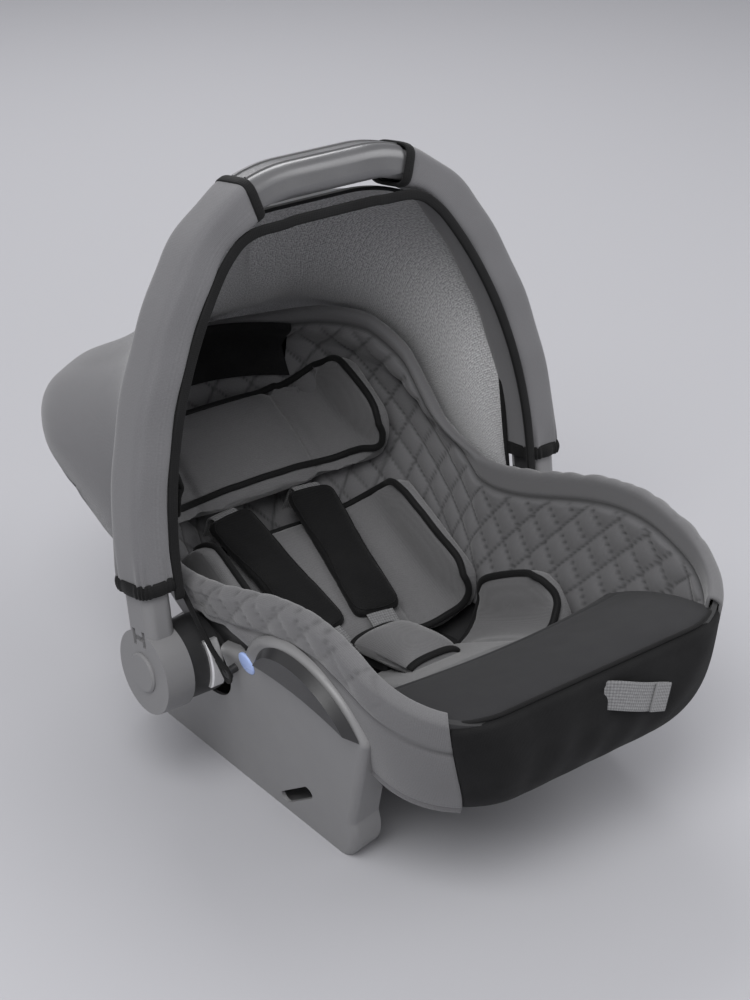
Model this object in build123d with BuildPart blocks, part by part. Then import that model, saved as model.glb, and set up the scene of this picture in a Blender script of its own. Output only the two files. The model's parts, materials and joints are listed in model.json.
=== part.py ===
"""Infant carrier car seat: a reclined bucket on two side rails, with a swinging carry handle,
a cloth canopy between handle and head end, padded inserts and a three-point harness.

X runs across the seat and is its symmetry axis, -Y is the foot end and +Y the head end, Z is up.
The origin is on the floor below the handle's pivot axis, midway along the seat.  Left is -X.
"""
import os
from math import atan2, cos, degrees, radians, sin, sqrt, tan

from build123d import *

os.makedirs("parts", exist_ok=True)

# Overall size and the fits between pieces
overall_length = 604.0
cloth_gap = 0.3
fit_gap = 0.2
running_gap = 0.05

# Bucket: a plan outline that swells from the floor up to the rim
bucket_floor_height = 46.0
bucket_top_height = 312.0
bucket_floor_half_width = 95.0
bucket_rim_half_width = 172.0
bucket_floor_front = -160.0
bucket_floor_rear = 60.0
bucket_floor_centre = -30.0
bucket_rim_centre = 35.0
bucket_floor_corner = 60.0
bucket_rim_corner = 74.0
side_flare = 3.4
rear_flare = 1.9
front_flare = 9.0
bucket_sections = 10
bucket_section_crowding = 1.7
bucket_wall = 4.0

# Rim seen from the side, as heights along the seat
rim_front_height = 182.0
rim_shoulder_reach = -180.0
rim_shoulder_height = 228.0
rim_dip_height = 190.0
rim_front_bow_reach = 0.45
rim_front_bow_rise = 0.55
rim_head_start = 60.0
rim_head_start_rise = 0.09
rim_head_middle = 125.0
rim_head_middle_rise = 0.66
rim_head_reach = 195.0
rim_head_height = 258.0

# Cloth cover: lining inside the bucket, roll over the rim, skirt outside
skirt_thickness = 3.7
lining_thickness = 5.0
skirt_front_height = 92.0
skirt_side_height = 150.0
skirt_hub_height = 170.0
skirt_rear_height = 205.0
hem_shoulder_rise = 0.6
hem_head_rise = 0.35
apron_half_width = 132.0
apron_rear = -179.0
apron_rear_height = 148.0
apron_crown = 7.0

# Handle: an arch on a plane through the pivot axis that leans to the head end
hub_height = 125.0
handle_lean = 8.4
arch_half_width = 217.0
arch_spring_height = 80.0
arch_flat_half = 34.0
arch_rise = 295.0
arch_crown_radius = 130.0
arch_depth = 25.0
arch_width = 36.0
arch_edge_radius = 8.0
inner_cover_thickness = 5.0
inner_cover_width = 20.0
grip_half_span = 74.0
grip_thickness = 2.4
grip_ridge_height = 1.2
grip_ridge_width = 3.0
grip_ridge_spacing = 17.0
sleeve_thickness = 4.5
sleeve_bottom = 79.0
sleeve_grip_gap = 2.0
elastic_width = 10.0
elastic_thickness = 4.0
clip_slot_height = 30.0
clip_slot_size = 14.0
clip_slot_bar = 4.5
clip_slot_depth = 3.0

# Pivot hub, measured outwards from the seat's middle
arm_boss_radius = 36.0
drum_radius = 33.0
drum_cavity_radius = 24.5
drum_start = 161.0
shell_boss_start = 128.0
shell_boss_radius = 30.0
pin_radius = 6.0
pin_start = 150.0
pin_end = 213.0
hub_cap_radius = 17.0
hub_cap_height = 2.5
hub_cap_edge = 1.5
lock_ring_length = 4.0
lock_ring_radius = 21.0
lock_gear_length = 7.0
lock_gear_radius = 22.0
lock_tooth_depth = 3.5
lock_teeth = 12
lock_clearance = 0.5
lock_travel = 4.0
spring_slack = 1.0
spring_wire = 1.6
spring_radius = 10.0
spring_turns = 4
button_width = 12.0
button_half_height = 20.0
button_outer_radius = 37.0
button_tilt = 10.0
button_travel = 3.0
button_set_in = 2.5
button_edge = 1.2
leaf_thickness = 0.8

# Side rails, slanted outwards, with the vehicle-belt guide on top
rail_floor_offset = 135.0
rail_slant = 12.7
rail_thickness = 27.0
rail_wall = 3.2
rail_flat_front = -142.0
rail_flat_rear = 96.0
rail_toe_reach = -178.0
rail_toe_height = 44.0
rail_toe_bulge = (0.8, 0.3)
rail_horn_front = -226.0
rail_horn_front_height = 152.0
rail_horn_top = -140.0
rail_horn_top_height = 201.0
rail_horn_rear = -72.0
rail_horn_rear_height = 158.0
rail_tail_reach = 146.0
rail_tail_height = 58.0
rail_tail_bulge = (0.75, 0.3)
rail_shoulder_reach = 62.0
rail_shoulder_height = 118.0
rail_hub_clearance = 41.0
rail_edge_radius = 6.0
rail_rib_thickness = 2.5
rail_rib_depth = 64.0
rail_rib_share = 0.8
rail_rib_start = -120.0
rail_rib_spacing = 50.0
rail_corner_radius = 9.0
rail_ribs = 5
belt_slot_centre = -101.0
belt_slot_height = 30.0
belt_slot_length = 62.0
belt_slot_width = 11.0
belt_slot_angle = 37.0
guide_depth = 34.0
guide_height = 8.0
guide_taper = 30.0
guide_margin = 5.0
guide_rear_margin = 20.0
marker_radius = 11.0
marker_thickness = 1.2
marker_reach = -90.0
marker_height = 152.0

# Canopy: a sheet from behind the handle to a gathered hem round the head end
canopy_thickness = 1.6
canopy_stand_off = 17.0
canopy_front_half_width = 186.0
canopy_front_top = 338.0
canopy_front_corner = 150.0
canopy_front_low = 84.0
canopy_waist_angle = 36.0
canopy_waist_half_width = 165.0
canopy_waist_top = 300.0
canopy_waist_corner = 150.0
canopy_waist_low = 122.0
canopy_sag_angle = 50.0
canopy_sag_half_width = 172.0
canopy_sag_top = 290.0
canopy_sag_corner = 130.0
canopy_sag_low = 155.0
canopy_rim_angle = 65.0
canopy_rim_half_width = 170.0
canopy_rim_corner = 110.0
canopy_rim_low = 165.0
canopy_swell = 9.9
canopy_hem_angle = 73.0
canopy_hem_half_width = 152.0
canopy_hem_top = 308.0
canopy_hem_corner = 88.0
canopy_hem_low = 218.0

# Cushions, each lying on a slope of its own
head_slope = 34.0
head_lower_reach = 150.0
head_lower_height = 170.0
head_length = 116.0
head_thickness = 36.0
head_half_width = 124.0
head_wing_rise = 58.0
head_wing_radius = 42.0
head_wing_lean = 50.0
head_wing_draw = 50.0
head_crease = 66.0
body_slope = 27.0
body_lower_reach = -8.0
body_lower_height = 68.0
body_length = 162.0
body_thickness = 46.0
body_half_width = 114.0
body_wing_rise = 50.0
body_wing_radius = 38.0
body_wing_lean = 14.0
body_wing_draw = 36.0
body_crease = 60.0
seat_slope = -27.0
seat_front_reach = -160.0
seat_front_height = 126.0
seat_length = 152.0
seat_thickness = 40.0
seat_half_width = 114.0
seat_wing_rise = 44.0
seat_wing_radius = 40.0
seat_wing_lean = -10.0
seat_wing_draw = 44.0
seat_crease = 64.0
wing_tip = 22.0
cushion_crown = 5.0
seat_crown = 1.5
pad_swelling = ((0.0, 2.5), (0.3, 0.4), (0.65, 0.6), (0.9, 3.2), (1.0, 7.0))
back_panel_half_width = 84.0
back_panel_lower = 212.0
back_panel_upper = 254.0
back_panel_thickness = 4.0

# Harness
webbing_width = 27.0
webbing_thickness = 1.8
slot_margin = 2.0
shoulder_pad_width = 50.0
shoulder_pad_length = 148.0
shoulder_pad_thickness = 13.0
shoulder_pad_start = 22.0
shoulder_pad_corner = 8.0
shoulder_upper_spread = 45.0
shoulder_lower_spread = 28.0
strap_bend = 177.0
strap_bend_radius = 8.0
strap_drop = 66.0
strap_lower_end = -2.0
yoke_depth = 52.0
yoke_width = 128.0
yoke_height = 36.0
yoke_corner = 10.0
yoke_thickness = 2.5
yoke_strap_inset = 12.0
crotch_pad_width = 58.0
crotch_pad_front = -104.0
crotch_pad_front_height = 101.0
crotch_pad_rear = -21.0
crotch_pad_rear_height = 88.0
crotch_pad_edge = 5.0
crotch_pad_rise = 15.0
crotch_pad_edge_radius = 2.2
buckle_width = 44.0
buckle_length = 42.0
buckle_thickness = 13.0
buckle_setback = 1.0
buckle_edge_radius = 2.0
buckle_button_width = 22.0
buckle_button_length = 14.0
buckle_button_thickness = 5.0
buckle_button_inset = 17.0
buckle_button_travel = 3.0
tongue_thickness = 2.0
tongue_width = 17.0
tongue_inner_gap = 4.0
tongue_depth = 14.0
tongue_head_start = 2.0
tongue_head_length = 15.0
tongue_head_width = 35.0
crotch_slot_reach = -84.0
crotch_strap_top = 91.5
crotch_strap_low = 41.0
crotch_strap_grip = 5.0
crotch_anchor_width = 50.0
crotch_anchor_length = 16.0
crotch_anchor_thickness = 3.0
adjuster_height = 169.5
adjuster_width = 36.0
adjuster_depth = 22.0
adjuster_below = 5.5
adjuster_above = 8.5
adjuster_set_back = 2.0
adjuster_edge_radius = 1.5
lever_width = 26.0
lever_length = 16.0
lever_thickness = 3.0
lever_pin_radius = 1.2
lever_pin_length = 31.0
lever_pin_inset = 2.0
lever_recess = 5.0
lever_drop = 0.6
under_strap_height = 38.0
under_strap_rear = 62.0
under_strap_front = -180.0
under_strap_radius = 4.0
tail_reach = 62.0
tail_drop = 24.0
tail_half_width = 11.0
tail_slant = 3.7
hook_reach = -56.0
hook_height = 138.0
hook_radius = 3.5
hook_head_radius = 6.0
hook_length = 7.0


def finish(builder, label):
    """Label a finished piece and write it as its own file."""
    builder.part.label = label
    export_step(builder.part, f"parts/{label}.step")


def finish_pair(builder, stem):
    """Write a left piece and its mirror image on the right."""
    finish(builder, f"left_{stem}")
    with BuildPart() as mirrored:
        mirror(builder.part, about=Plane.YZ)
    finish(mirrored, f"right_{stem}")


# Bucket forms: the same lofted tub at any inset from the outer wall
cover_stand_off = cloth_gap + skirt_thickness
bucket_rim_front = -overall_length / 2 + webbing_thickness + cloth_gap + cover_stand_off
bucket_rim_rear = overall_length / 2 - cover_stand_off - canopy_stand_off
lining_outer = bucket_wall + cloth_gap
lining_inner = lining_outer + lining_thickness
seat_inset = lining_inner + cloth_gap


def swell(height, exponent, full_height):
    """Growth of the plan from the floor up: fast at first, and 1 at the full height."""
    def growth(level):
        share = (level - bucket_floor_height) / (bucket_top_height - bucket_floor_height)
        return 1 - (1 - max(share, 0.0)) ** exponent
    return growth(height) / growth(full_height)


def between(low, high, share):
    """Point a share of the way from low to high."""
    return low + (high - low) * share


def bucket_form(inset):
    """Filled tub whose wall lies an inset inside the bucket's outer wall."""
    bottom = bucket_floor_height + inset
    with BuildPart() as form:
        for index in range(bucket_sections):
            share = (index / (bucket_sections - 1)) ** bucket_section_crowding
            height = between(bottom, bucket_top_height, share)
            side_share = swell(height, side_flare, bucket_top_height)
            front_share = swell(height, front_flare, rim_front_height + cover_stand_off)
            rear_share = swell(height, rear_flare, rim_head_height)
            half = between(bucket_floor_half_width, bucket_rim_half_width, side_share) - inset
            front = between(bucket_floor_front, bucket_rim_front, front_share) + inset
            rear = between(bucket_floor_rear, bucket_rim_rear, rear_share) - inset
            centre = between(bucket_floor_centre, bucket_rim_centre, rear_share)
            corner = between(bucket_floor_corner, bucket_rim_corner, side_share) - inset
            with BuildSketch(Plane.XY.offset(height)):
                with BuildLine():
                    EllipticalCenterArc((0, centre), half, rear - centre, 0, arc_size=180)
                    Line((-half, centre), (-half, front + corner))
                    RadiusArc((-half, front + corner), (-half + corner, front), -corner)
                    Line((-half + corner, front), (half - corner, front))
                    RadiusArc((half - corner, front), (half, front + corner), -corner)
                    Line((half, front + corner), (half, centre))
                make_face()
        loft()
    return form.part


def rim_cutter(lift):
    """Everything above the rim line, raised by a lift."""
    reach = overall_length
    top = bucket_top_height + lift + overall_length
    with BuildPart() as cutter:
        with BuildSketch(Plane.YZ):
            with BuildLine():
                rim = Spline(
                    (bucket_rim_front - cover_stand_off, rim_front_height + lift),
                    (between(bucket_rim_front, rim_shoulder_reach, rim_front_bow_reach),
                     between(rim_front_height, rim_shoulder_height, rim_front_bow_rise) + lift),
                    (rim_shoulder_reach, rim_shoulder_height + lift),
                    (0, rim_dip_height + lift),
                    (rim_head_start, between(rim_dip_height, rim_head_height, rim_head_start_rise) + lift),
                    (rim_head_middle, between(rim_dip_height, rim_head_height, rim_head_middle_rise) + lift),
                    (rim_head_reach, rim_head_height + lift),
                    (bucket_rim_rear + cover_stand_off, rim_head_height + lift),
                )
                Polyline(rim @ 1, (reach, rim_head_height + lift), (reach, top), (-reach, top),
                         (-reach, rim_front_height + lift), rim @ 0)
            make_face()
        extrude(amount=overall_length / 2, both=True)
    return cutter.part


bucket_outer = bucket_form(0)
bucket_inner = bucket_form(bucket_wall)
bucket_seat = bucket_form(seat_inset)


# Cloth cover before it is divided into its sewn panels
def hem_cutter(drop):
    """Everything below the skirt's lower hem, lowered by a drop."""
    reach = overall_length
    with BuildPart() as cutter:
        with BuildSketch(Plane.YZ):
            with BuildLine():
                hem = Spline(
                    (bucket_rim_front - cover_stand_off, skirt_front_height - drop),
                    (rim_shoulder_reach,
                     between(skirt_front_height, skirt_side_height, hem_shoulder_rise) - drop),
                    (rail_horn_rear, skirt_side_height - drop),
                    (0, skirt_hub_height - drop),
                    (rim_head_middle, between(skirt_hub_height, skirt_rear_height, hem_head_rise) - drop),
                    (bucket_rim_rear + cover_stand_off, skirt_rear_height - drop),
                )
                Polyline(hem @ 1, (reach, skirt_rear_height - drop), (reach, -reach), (-reach, -reach),
                         (-reach, skirt_front_height - drop), hem @ 0)
            make_face()
        extrude(amount=overall_length / 2, both=True)
    return cutter.part


wall_middle = bucket_form(bucket_wall / 2)
with BuildPart() as shell_room:
    add(bucket_form(-cloth_gap))
    add(bucket_form(lining_outer), mode=Mode.SUBTRACT)
    add(rim_cutter(cloth_gap), mode=Mode.SUBTRACT)
with BuildPart() as skirt_waste:
    add(hem_cutter(0))
    add(wall_middle, mode=Mode.SUBTRACT)
with BuildPart() as cover_cloth:
    add(bucket_form(-cover_stand_off))
    add(bucket_form(lining_inner), mode=Mode.SUBTRACT)
    add(rim_cutter(cover_stand_off), mode=Mode.SUBTRACT)
    add(shell_room.part, mode=Mode.SUBTRACT)
    add(skirt_waste.part, mode=Mode.SUBTRACT)
with BuildPart() as skirt_room:
    add(bucket_form(-cover_stand_off - cloth_gap))
    add(hem_cutter(cloth_gap), mode=Mode.SUBTRACT)

# Harness planes: along the child's body, spreading slightly towards the shoulders
body_angle = radians(body_slope)
body_plane = Plane(
    origin=(0, body_lower_reach, body_lower_height),
    x_dir=(0, cos(body_angle), sin(body_angle)),
    z_dir=(0, -sin(body_angle), cos(body_angle)),
)
shoulder_rise = cushion_crown + cloth_gap
shoulder_spread = (shoulder_upper_spread - shoulder_lower_spread) / shoulder_pad_length
shoulder_plane = Plane(
    origin=body_plane.from_local_coords((shoulder_pad_start, shoulder_lower_spread, shoulder_rise)),
    x_dir=(-shoulder_spread, cos(body_angle), sin(body_angle)),
    z_dir=body_plane.z_dir,
)
strap_level = (shoulder_pad_thickness + webbing_thickness) / 2
strap_turn = strap_bend - shoulder_pad_start
webbing_room = webbing_width + 2 * slot_margin
webbing_gap = webbing_thickness + 2 * slot_margin


def side_ribbon(plane, points, radius, margin):
    """Webbing drawn from the side as a bent line with rounded corners, grown by a margin all round."""
    with BuildPart() as ribbon:
        with BuildSketch(plane):
            with BuildLine():
                FilletPolyline(*points, radius=radius)
                offset(amount=webbing_thickness, side=Side.RIGHT)
            make_face()
            if margin > 0:
                offset(amount=margin, mode=Mode.REPLACE)
        extrude(amount=webbing_width / 2 + margin, both=True)
    return ribbon.part


# Slots for the webbing: shoulders, crotch and the front adjuster
strap_slot_plane = Plane(
    origin=shoulder_plane.from_local_coords((strap_turn - webbing_thickness / 2, 0, 0)),
    x_dir=shoulder_plane.y_dir, z_dir=-shoulder_plane.z_dir)
with BuildPart() as strap_slots:
    with BuildSketch(strap_slot_plane):
        Rectangle(webbing_room, webbing_gap)
    extrude(amount=strap_drop)
    mirror(about=Plane.YZ)
with BuildPart() as crotch_slot:
    with BuildSketch():
        with Locations((0, crotch_slot_reach)):
            Rectangle(webbing_room, webbing_gap)
    extrude(amount=hub_height)
tail_level = adjuster_height - webbing_thickness / 2
with BuildPart() as tail_slot:
    with BuildSketch(Plane.XZ.offset(-bucket_rim_front - bucket_wall)):
        with Locations((0, tail_level)):
            Rectangle(webbing_room, webbing_gap)
    extrude(amount=2 * cover_stand_off + bucket_wall)

# Adjuster strap: from the yoke under the bucket and up through the front to a loose tail
tail_front = bucket_rim_front - cover_stand_off - cloth_gap - webbing_thickness
yoke_slot = strap_bend - yoke_strap_inset
yoke_above = body_plane.from_local_coords((yoke_slot, 0, -yoke_depth + 2 * yoke_thickness))
yoke_below = body_plane.from_local_coords((yoke_slot, 0, -yoke_depth - 2 * yoke_thickness))
adjuster_front = bucket_rim_front + bucket_wall + adjuster_set_back
adjuster_rear = adjuster_front + adjuster_depth
adjuster_path = (
    (yoke_above.Y, yoke_above.Z),
    (yoke_below.Y, yoke_below.Z),
    (under_strap_rear, under_strap_height),
    (under_strap_front, under_strap_height),
    (adjuster_rear + adjuster_set_back, adjuster_height),
    (tail_front, adjuster_height),
)
with BuildPart() as adjuster_strap:
    add(side_ribbon(Plane.YZ, adjuster_path, under_strap_radius, 0))
    with BuildSketch(Plane.XZ.offset(-tail_front - webbing_thickness)):
        with BuildLine():
            Polyline((-webbing_width / 2, adjuster_height), (webbing_width / 2, adjuster_height),
                     (tail_reach + tail_slant, adjuster_height - tail_drop + tail_half_width),
                     (tail_reach - tail_slant, adjuster_height - tail_drop - tail_half_width),
                     (0, adjuster_height - tail_half_width), (-webbing_width / 2, adjuster_height))
        make_face()
    extrude(amount=webbing_thickness)
finish(adjuster_strap, "adjuster_strap")
with BuildPart() as adjuster_strap_room:
    add(side_ribbon(Plane.YZ, adjuster_path, under_strap_radius, slot_margin))

# Seat shell
with BuildPart() as seat_shell:
    add(bucket_outer)
    for side in (-1, 1):
        boss_middle = (shell_boss_start + drum_start - cloth_gap) / 2
        with Locations((side * boss_middle, 0, hub_height)):
            Cylinder(shell_boss_radius, drum_start - cloth_gap - shell_boss_start, rotation=(0, 90, 0))
    add(bucket_inner, mode=Mode.SUBTRACT)
    add(rim_cutter(0), mode=Mode.SUBTRACT)
    for side in (-1, 1):
        with Locations((side * (pin_start + pin_end) / 2, 0, hub_height)):
            Cylinder(pin_radius, pin_end - pin_start, rotation=(0, 90, 0), mode=Mode.SUBTRACT)
    for slot in (strap_slots, crotch_slot, tail_slot, adjuster_strap_room):
        add(slot.part, mode=Mode.SUBTRACT)
finish(seat_shell, "seat_shell")

# Cloth panels: the apron over the foot end in two pieces, and the cover round the rest
with BuildPart() as apron_block:
    with BuildSketch(Plane.YZ):
        with BuildLine():
            Polyline((apron_rear, apron_rear_height), (apron_rear, 0), (-overall_length, 0),
                     (-overall_length, rim_front_height + cover_stand_off),
                     (bucket_rim_front, rim_front_height + cover_stand_off))
            ThreePointArc(
                (bucket_rim_front, rim_front_height + cover_stand_off),
                (between(apron_rear, bucket_rim_front, 0.5),
                 between(apron_rear_height, rim_front_height + cover_stand_off, 0.5) + apron_crown),
                (apron_rear, apron_rear_height))
        make_face()
    extrude(amount=overall_length / 2, both=True)


def apron_zone(half, rear):
    """Block over the foot end that is a half width wide to each side."""
    with BuildPart() as zone:
        with Locations((0, (rear - overall_length) / 2, bucket_top_height / 2)):
            Box(2 * half, overall_length + rear, bucket_top_height * 2)
    return zone.part


with BuildPart() as adjuster_room:
    with Locations((0, (adjuster_front + adjuster_rear) / 2,
                    adjuster_height + (adjuster_above - adjuster_below) / 2)):
        Box(adjuster_width + 2 * cloth_gap, adjuster_depth + 2 * cloth_gap,
            adjuster_above + adjuster_below + 2 * cloth_gap)
with BuildPart() as rim_roll:
    add(cover_cloth.part)
    add(apron_zone(apron_half_width, apron_rear), mode=Mode.INTERSECT)
    add(bucket_form(bucket_wall / 2 + cloth_gap), mode=Mode.INTERSECT)
with BuildPart() as apron_upper:
    add(bucket_form(lining_outer))
    add(apron_zone(apron_half_width, apron_rear), mode=Mode.INTERSECT)
    add(bucket_seat)
    add(apron_block.part, mode=Mode.INTERSECT)
    add(rim_roll.part)
    for slot in (adjuster_room, adjuster_strap_room, tail_slot):
        add(slot.part, mode=Mode.SUBTRACT)
finish(apron_upper, "front_apron_upper")

with BuildPart() as apron_lower:
    add(cover_cloth.part)
    add(apron_zone(apron_half_width, apron_rear), mode=Mode.INTERSECT)
    add(wall_middle, mode=Mode.SUBTRACT)
    add(tail_slot.part, mode=Mode.SUBTRACT)
finish(apron_lower, "front_apron_lower")

with BuildPart() as seat_cover:
    add(cover_cloth.part)
    add(apron_zone(apron_half_width + cloth_gap, apron_rear + cloth_gap), mode=Mode.SUBTRACT)
    for slot in (strap_slots, crotch_slot, adjuster_strap_room):
        add(slot.part, mode=Mode.SUBTRACT)
finish(seat_cover, "seat_cover")

# Handle plane and its arch
handle_plane = Plane(
    origin=(0, 0, hub_height),
    x_dir=(1, 0, 0),
    z_dir=(0, -cos(radians(handle_lean)), sin(radians(handle_lean))),
)
arch_inner_half = arch_half_width - arch_depth
arch_inner_rise = arch_rise - arch_depth

# Arch line: each half has a long side arc and a tighter crown arc that meet without a corner
arch_run = arch_half_width - arch_flat_half
arch_side_radius = ((arch_run ** 2 + arch_rise ** 2 - 2 * arch_rise * arch_crown_radius)
                    / (2 * (arch_run - arch_crown_radius)))
arch_side_offset = arch_side_radius - arch_half_width
arch_crown_height = arch_spring_height + arch_rise - arch_crown_radius
arch_turn = degrees(atan2(arch_crown_height - arch_spring_height, arch_flat_half + arch_side_offset))


def arch_band(outer, inner, low):
    """Flat face between two offsets of the arch line, from a low end up, over and down again."""
    with BuildSketch(handle_plane) as band:
        with BuildLine():
            for grow in (outer, inner):
                half = arch_half_width + grow
                top = arch_spring_height + arch_rise + grow
                side_radius = arch_side_radius + grow
                crown_radius = arch_crown_radius + grow
                Line((half, low), (half, arch_spring_height))
                CenterArc((-arch_side_offset, arch_spring_height), side_radius, 0, arch_turn)
                CenterArc((arch_flat_half, arch_crown_height), crown_radius, arch_turn, 90 - arch_turn)
                Line((arch_flat_half, top), (-arch_flat_half, top))
                CenterArc((-arch_flat_half, arch_crown_height), crown_radius, 90, 90 - arch_turn)
                CenterArc((arch_side_offset, arch_spring_height), side_radius, 180 - arch_turn, arch_turn)
                Line((-half, arch_spring_height), (-half, low))
            for side in (-1, 1):
                Line((side * (arch_half_width + outer), low), (side * (arch_half_width + inner), low))
        make_face()
    return band.sketch


def arch_form(grow):
    """Solid arch of the handle, grown all round, with rounded long edges."""
    with BuildPart() as form:
        extrude(arch_band(grow, -arch_depth - grow, 0), amount=arch_width / 2 + grow, both=True)
        across = Axis(handle_plane.origin, handle_plane.z_dir)
        rims = form.faces().sort_by(across)[-1].edges() + form.faces().sort_by(across)[0].edges()
        long_edges = rims.filter_by(lambda edge: handle_plane.to_local_coords(edge.center()).Y > fit_gap)
        fillet(long_edges, arch_edge_radius + grow)
    return form.part


def handle_block(low, high, left, right):
    """Box across the handle, from a low to a high distance above the pivot axis."""
    with BuildPart() as block:
        with BuildSketch(handle_plane):
            with Locations(((left + right) / 2, (low + high) / 2)):
                Rectangle(right - left, high - low)
        extrude(amount=arch_half_width, both=True)
    return block.part


arch_reach = arch_spring_height + arch_rise + arch_depth
with BuildPart() as handle_outer:
    add(arch_form(0))
    for side in (-1, 1):
        with Locations((side * (arch_half_width - arch_depth / 2), 0, hub_height)):
            Cylinder(arm_boss_radius, arch_depth, rotation=(0, 90, 0))
    extrude(arch_band(inner_cover_thickness - arch_depth, -arch_depth - fit_gap, arm_boss_radius),
            amount=inner_cover_width / 2, both=True, mode=Mode.SUBTRACT)
    for side in (-1, 1):
        with Locations((side * (arch_inner_half + pin_end) / 2, 0, hub_height)):
            Cylinder(pin_radius + running_gap, pin_end - arch_inner_half, rotation=(0, 90, 0),
                     mode=Mode.SUBTRACT)
        clip_plane = Plane(
            origin=handle_plane.from_local_coords((side * arch_half_width, clip_slot_height, 0)),
            x_dir=handle_plane.z_dir, z_dir=(side, 0, 0))
        with BuildSketch(clip_plane):
            Rectangle(clip_slot_size, clip_slot_bar)
            with GridLocations(clip_slot_size, 0, 2, 1):
                Rectangle(clip_slot_bar, clip_slot_size)
        extrude(amount=-clip_slot_depth, mode=Mode.SUBTRACT)
finish(handle_outer, "handle_outer")

with BuildPart() as handle_inner:
    extrude(arch_band(inner_cover_thickness - fit_gap - arch_depth, -arch_depth, arm_boss_radius + fit_gap),
            amount=inner_cover_width / 2 - fit_gap, both=True)
finish(handle_inner, "handle_inner_cover")

# Grip cover: a strip over the top of the arch with two raised ridges
with BuildPart() as grip_cover:
    add(arch_form(cloth_gap + grip_thickness))
    for offset_side in (-1, 1):
        ridge_plane = handle_plane.offset(offset_side * grip_ridge_spacing / 2)
        ridge = arch_band(grip_thickness + cloth_gap + grip_ridge_height, 0, 0)
        extrude(ridge.moved(Location(ridge_plane.origin - handle_plane.origin)),
                amount=grip_ridge_width / 2, both=True)
    add(arch_form(cloth_gap), mode=Mode.SUBTRACT)
    add(handle_block(arch_spring_height + arch_inner_rise, arch_reach, -grip_half_span, grip_half_span),
        mode=Mode.INTERSECT)
finish(grip_cover, "grip_cover")

# Cloth sleeves over the arms and the elastic band that closes each one
sleeve_inner = arch_form(cloth_gap)
sleeve_side = (sleeve_bottom, arch_reach, -arch_half_width - arch_depth, -grip_half_span - sleeve_grip_gap)
with BuildPart() as sleeve:
    add(arch_form(cloth_gap + sleeve_thickness))
    add(sleeve_inner, mode=Mode.SUBTRACT)
    add(handle_block(*sleeve_side), mode=Mode.INTERSECT)
finish_pair(sleeve, "canopy_sleeve")
with BuildPart() as sleeve_band:
    add(arch_form(cloth_gap + elastic_thickness))
    add(sleeve_inner, mode=Mode.SUBTRACT)
    add(handle_block(sleeve_bottom - cloth_gap - elastic_width, sleeve_bottom - cloth_gap,
                     -arch_half_width - arch_depth, 0), mode=Mode.INTERSECT)
finish_pair(sleeve_band, "sleeve_band")

# Canopy sheet
def canopy_section(plane, half, top, corner, low):
    """Thin arch-shaped face: straight sides, round corners and a straight top."""
    with BuildSketch(plane) as section:
        with BuildLine():
            for inset in (0, canopy_thickness):
                width, crown, turn = half - inset, top - inset, corner - inset
                Line((-width, low), (-width, crown - turn))
                RadiusArc((-width, crown - turn), (-width + turn, crown), turn)
                Line((-width + turn, crown), (width - turn, crown))
                RadiusArc((width - turn, crown), (width, crown - turn), turn)
                Line((width, crown - turn), (width, low))
            Line((half, low), (half - canopy_thickness, low))
            Line((-half, low), (-half + canopy_thickness, low))
        make_face()
    return section.sketch


def fan_plane(angle):
    """Plane through the pivot axis, turned from upright towards the head end."""
    return Plane(origin=(0, 0, hub_height), x_dir=(1, 0, 0),
                 z_dir=(0, -cos(radians(angle)), sin(radians(angle))))


canopy_rim_top = (overall_length / 2 - canopy_swell) / sin(radians(canopy_rim_angle))
sleeve_back = arch_width / 2 + 2 * cloth_gap + sleeve_thickness
with BuildPart() as canopy:
    loft([
        canopy_section(handle_plane.offset(-sleeve_back), canopy_front_half_width, canopy_front_top,
                       canopy_front_corner, canopy_front_low),
        canopy_section(fan_plane(canopy_waist_angle), canopy_waist_half_width, canopy_waist_top,
                       canopy_waist_corner, canopy_waist_low),
        canopy_section(fan_plane(canopy_sag_angle), canopy_sag_half_width, canopy_sag_top,
                       canopy_sag_corner, canopy_sag_low),
        canopy_section(fan_plane(canopy_rim_angle), canopy_rim_half_width, canopy_rim_top,
                       canopy_rim_corner, canopy_rim_low),
        canopy_section(fan_plane(canopy_hem_angle), canopy_hem_half_width, canopy_hem_top,
                       canopy_hem_corner, canopy_hem_low),
    ])
finish(canopy, "canopy")

# Pivot hub, built on the left: distances run outwards along the pivot axis
pivot_plane = Plane(origin=(0, 0, hub_height), x_dir=(0, -1, 0), z_dir=(-1, 0, 0))
button_plane = Plane(origin=(0, 0, hub_height), z_dir=(-1, 0, 0),
                     x_dir=(0, -cos(radians(button_tilt)), sin(radians(button_tilt))))


def press_face(plane, inner_radius, outer_radius, half):
    """Piece of a ring between two straight sides that run along the plane's own x, the way it is pressed."""
    with BuildSketch(plane) as piece:
        with Locations((outer_radius / 2, 0)):
            Rectangle(outer_radius, 2 * half)
        Circle(outer_radius, mode=Mode.INTERSECT)
        Circle(inner_radius, mode=Mode.SUBTRACT)
    return piece.sketch


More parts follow.
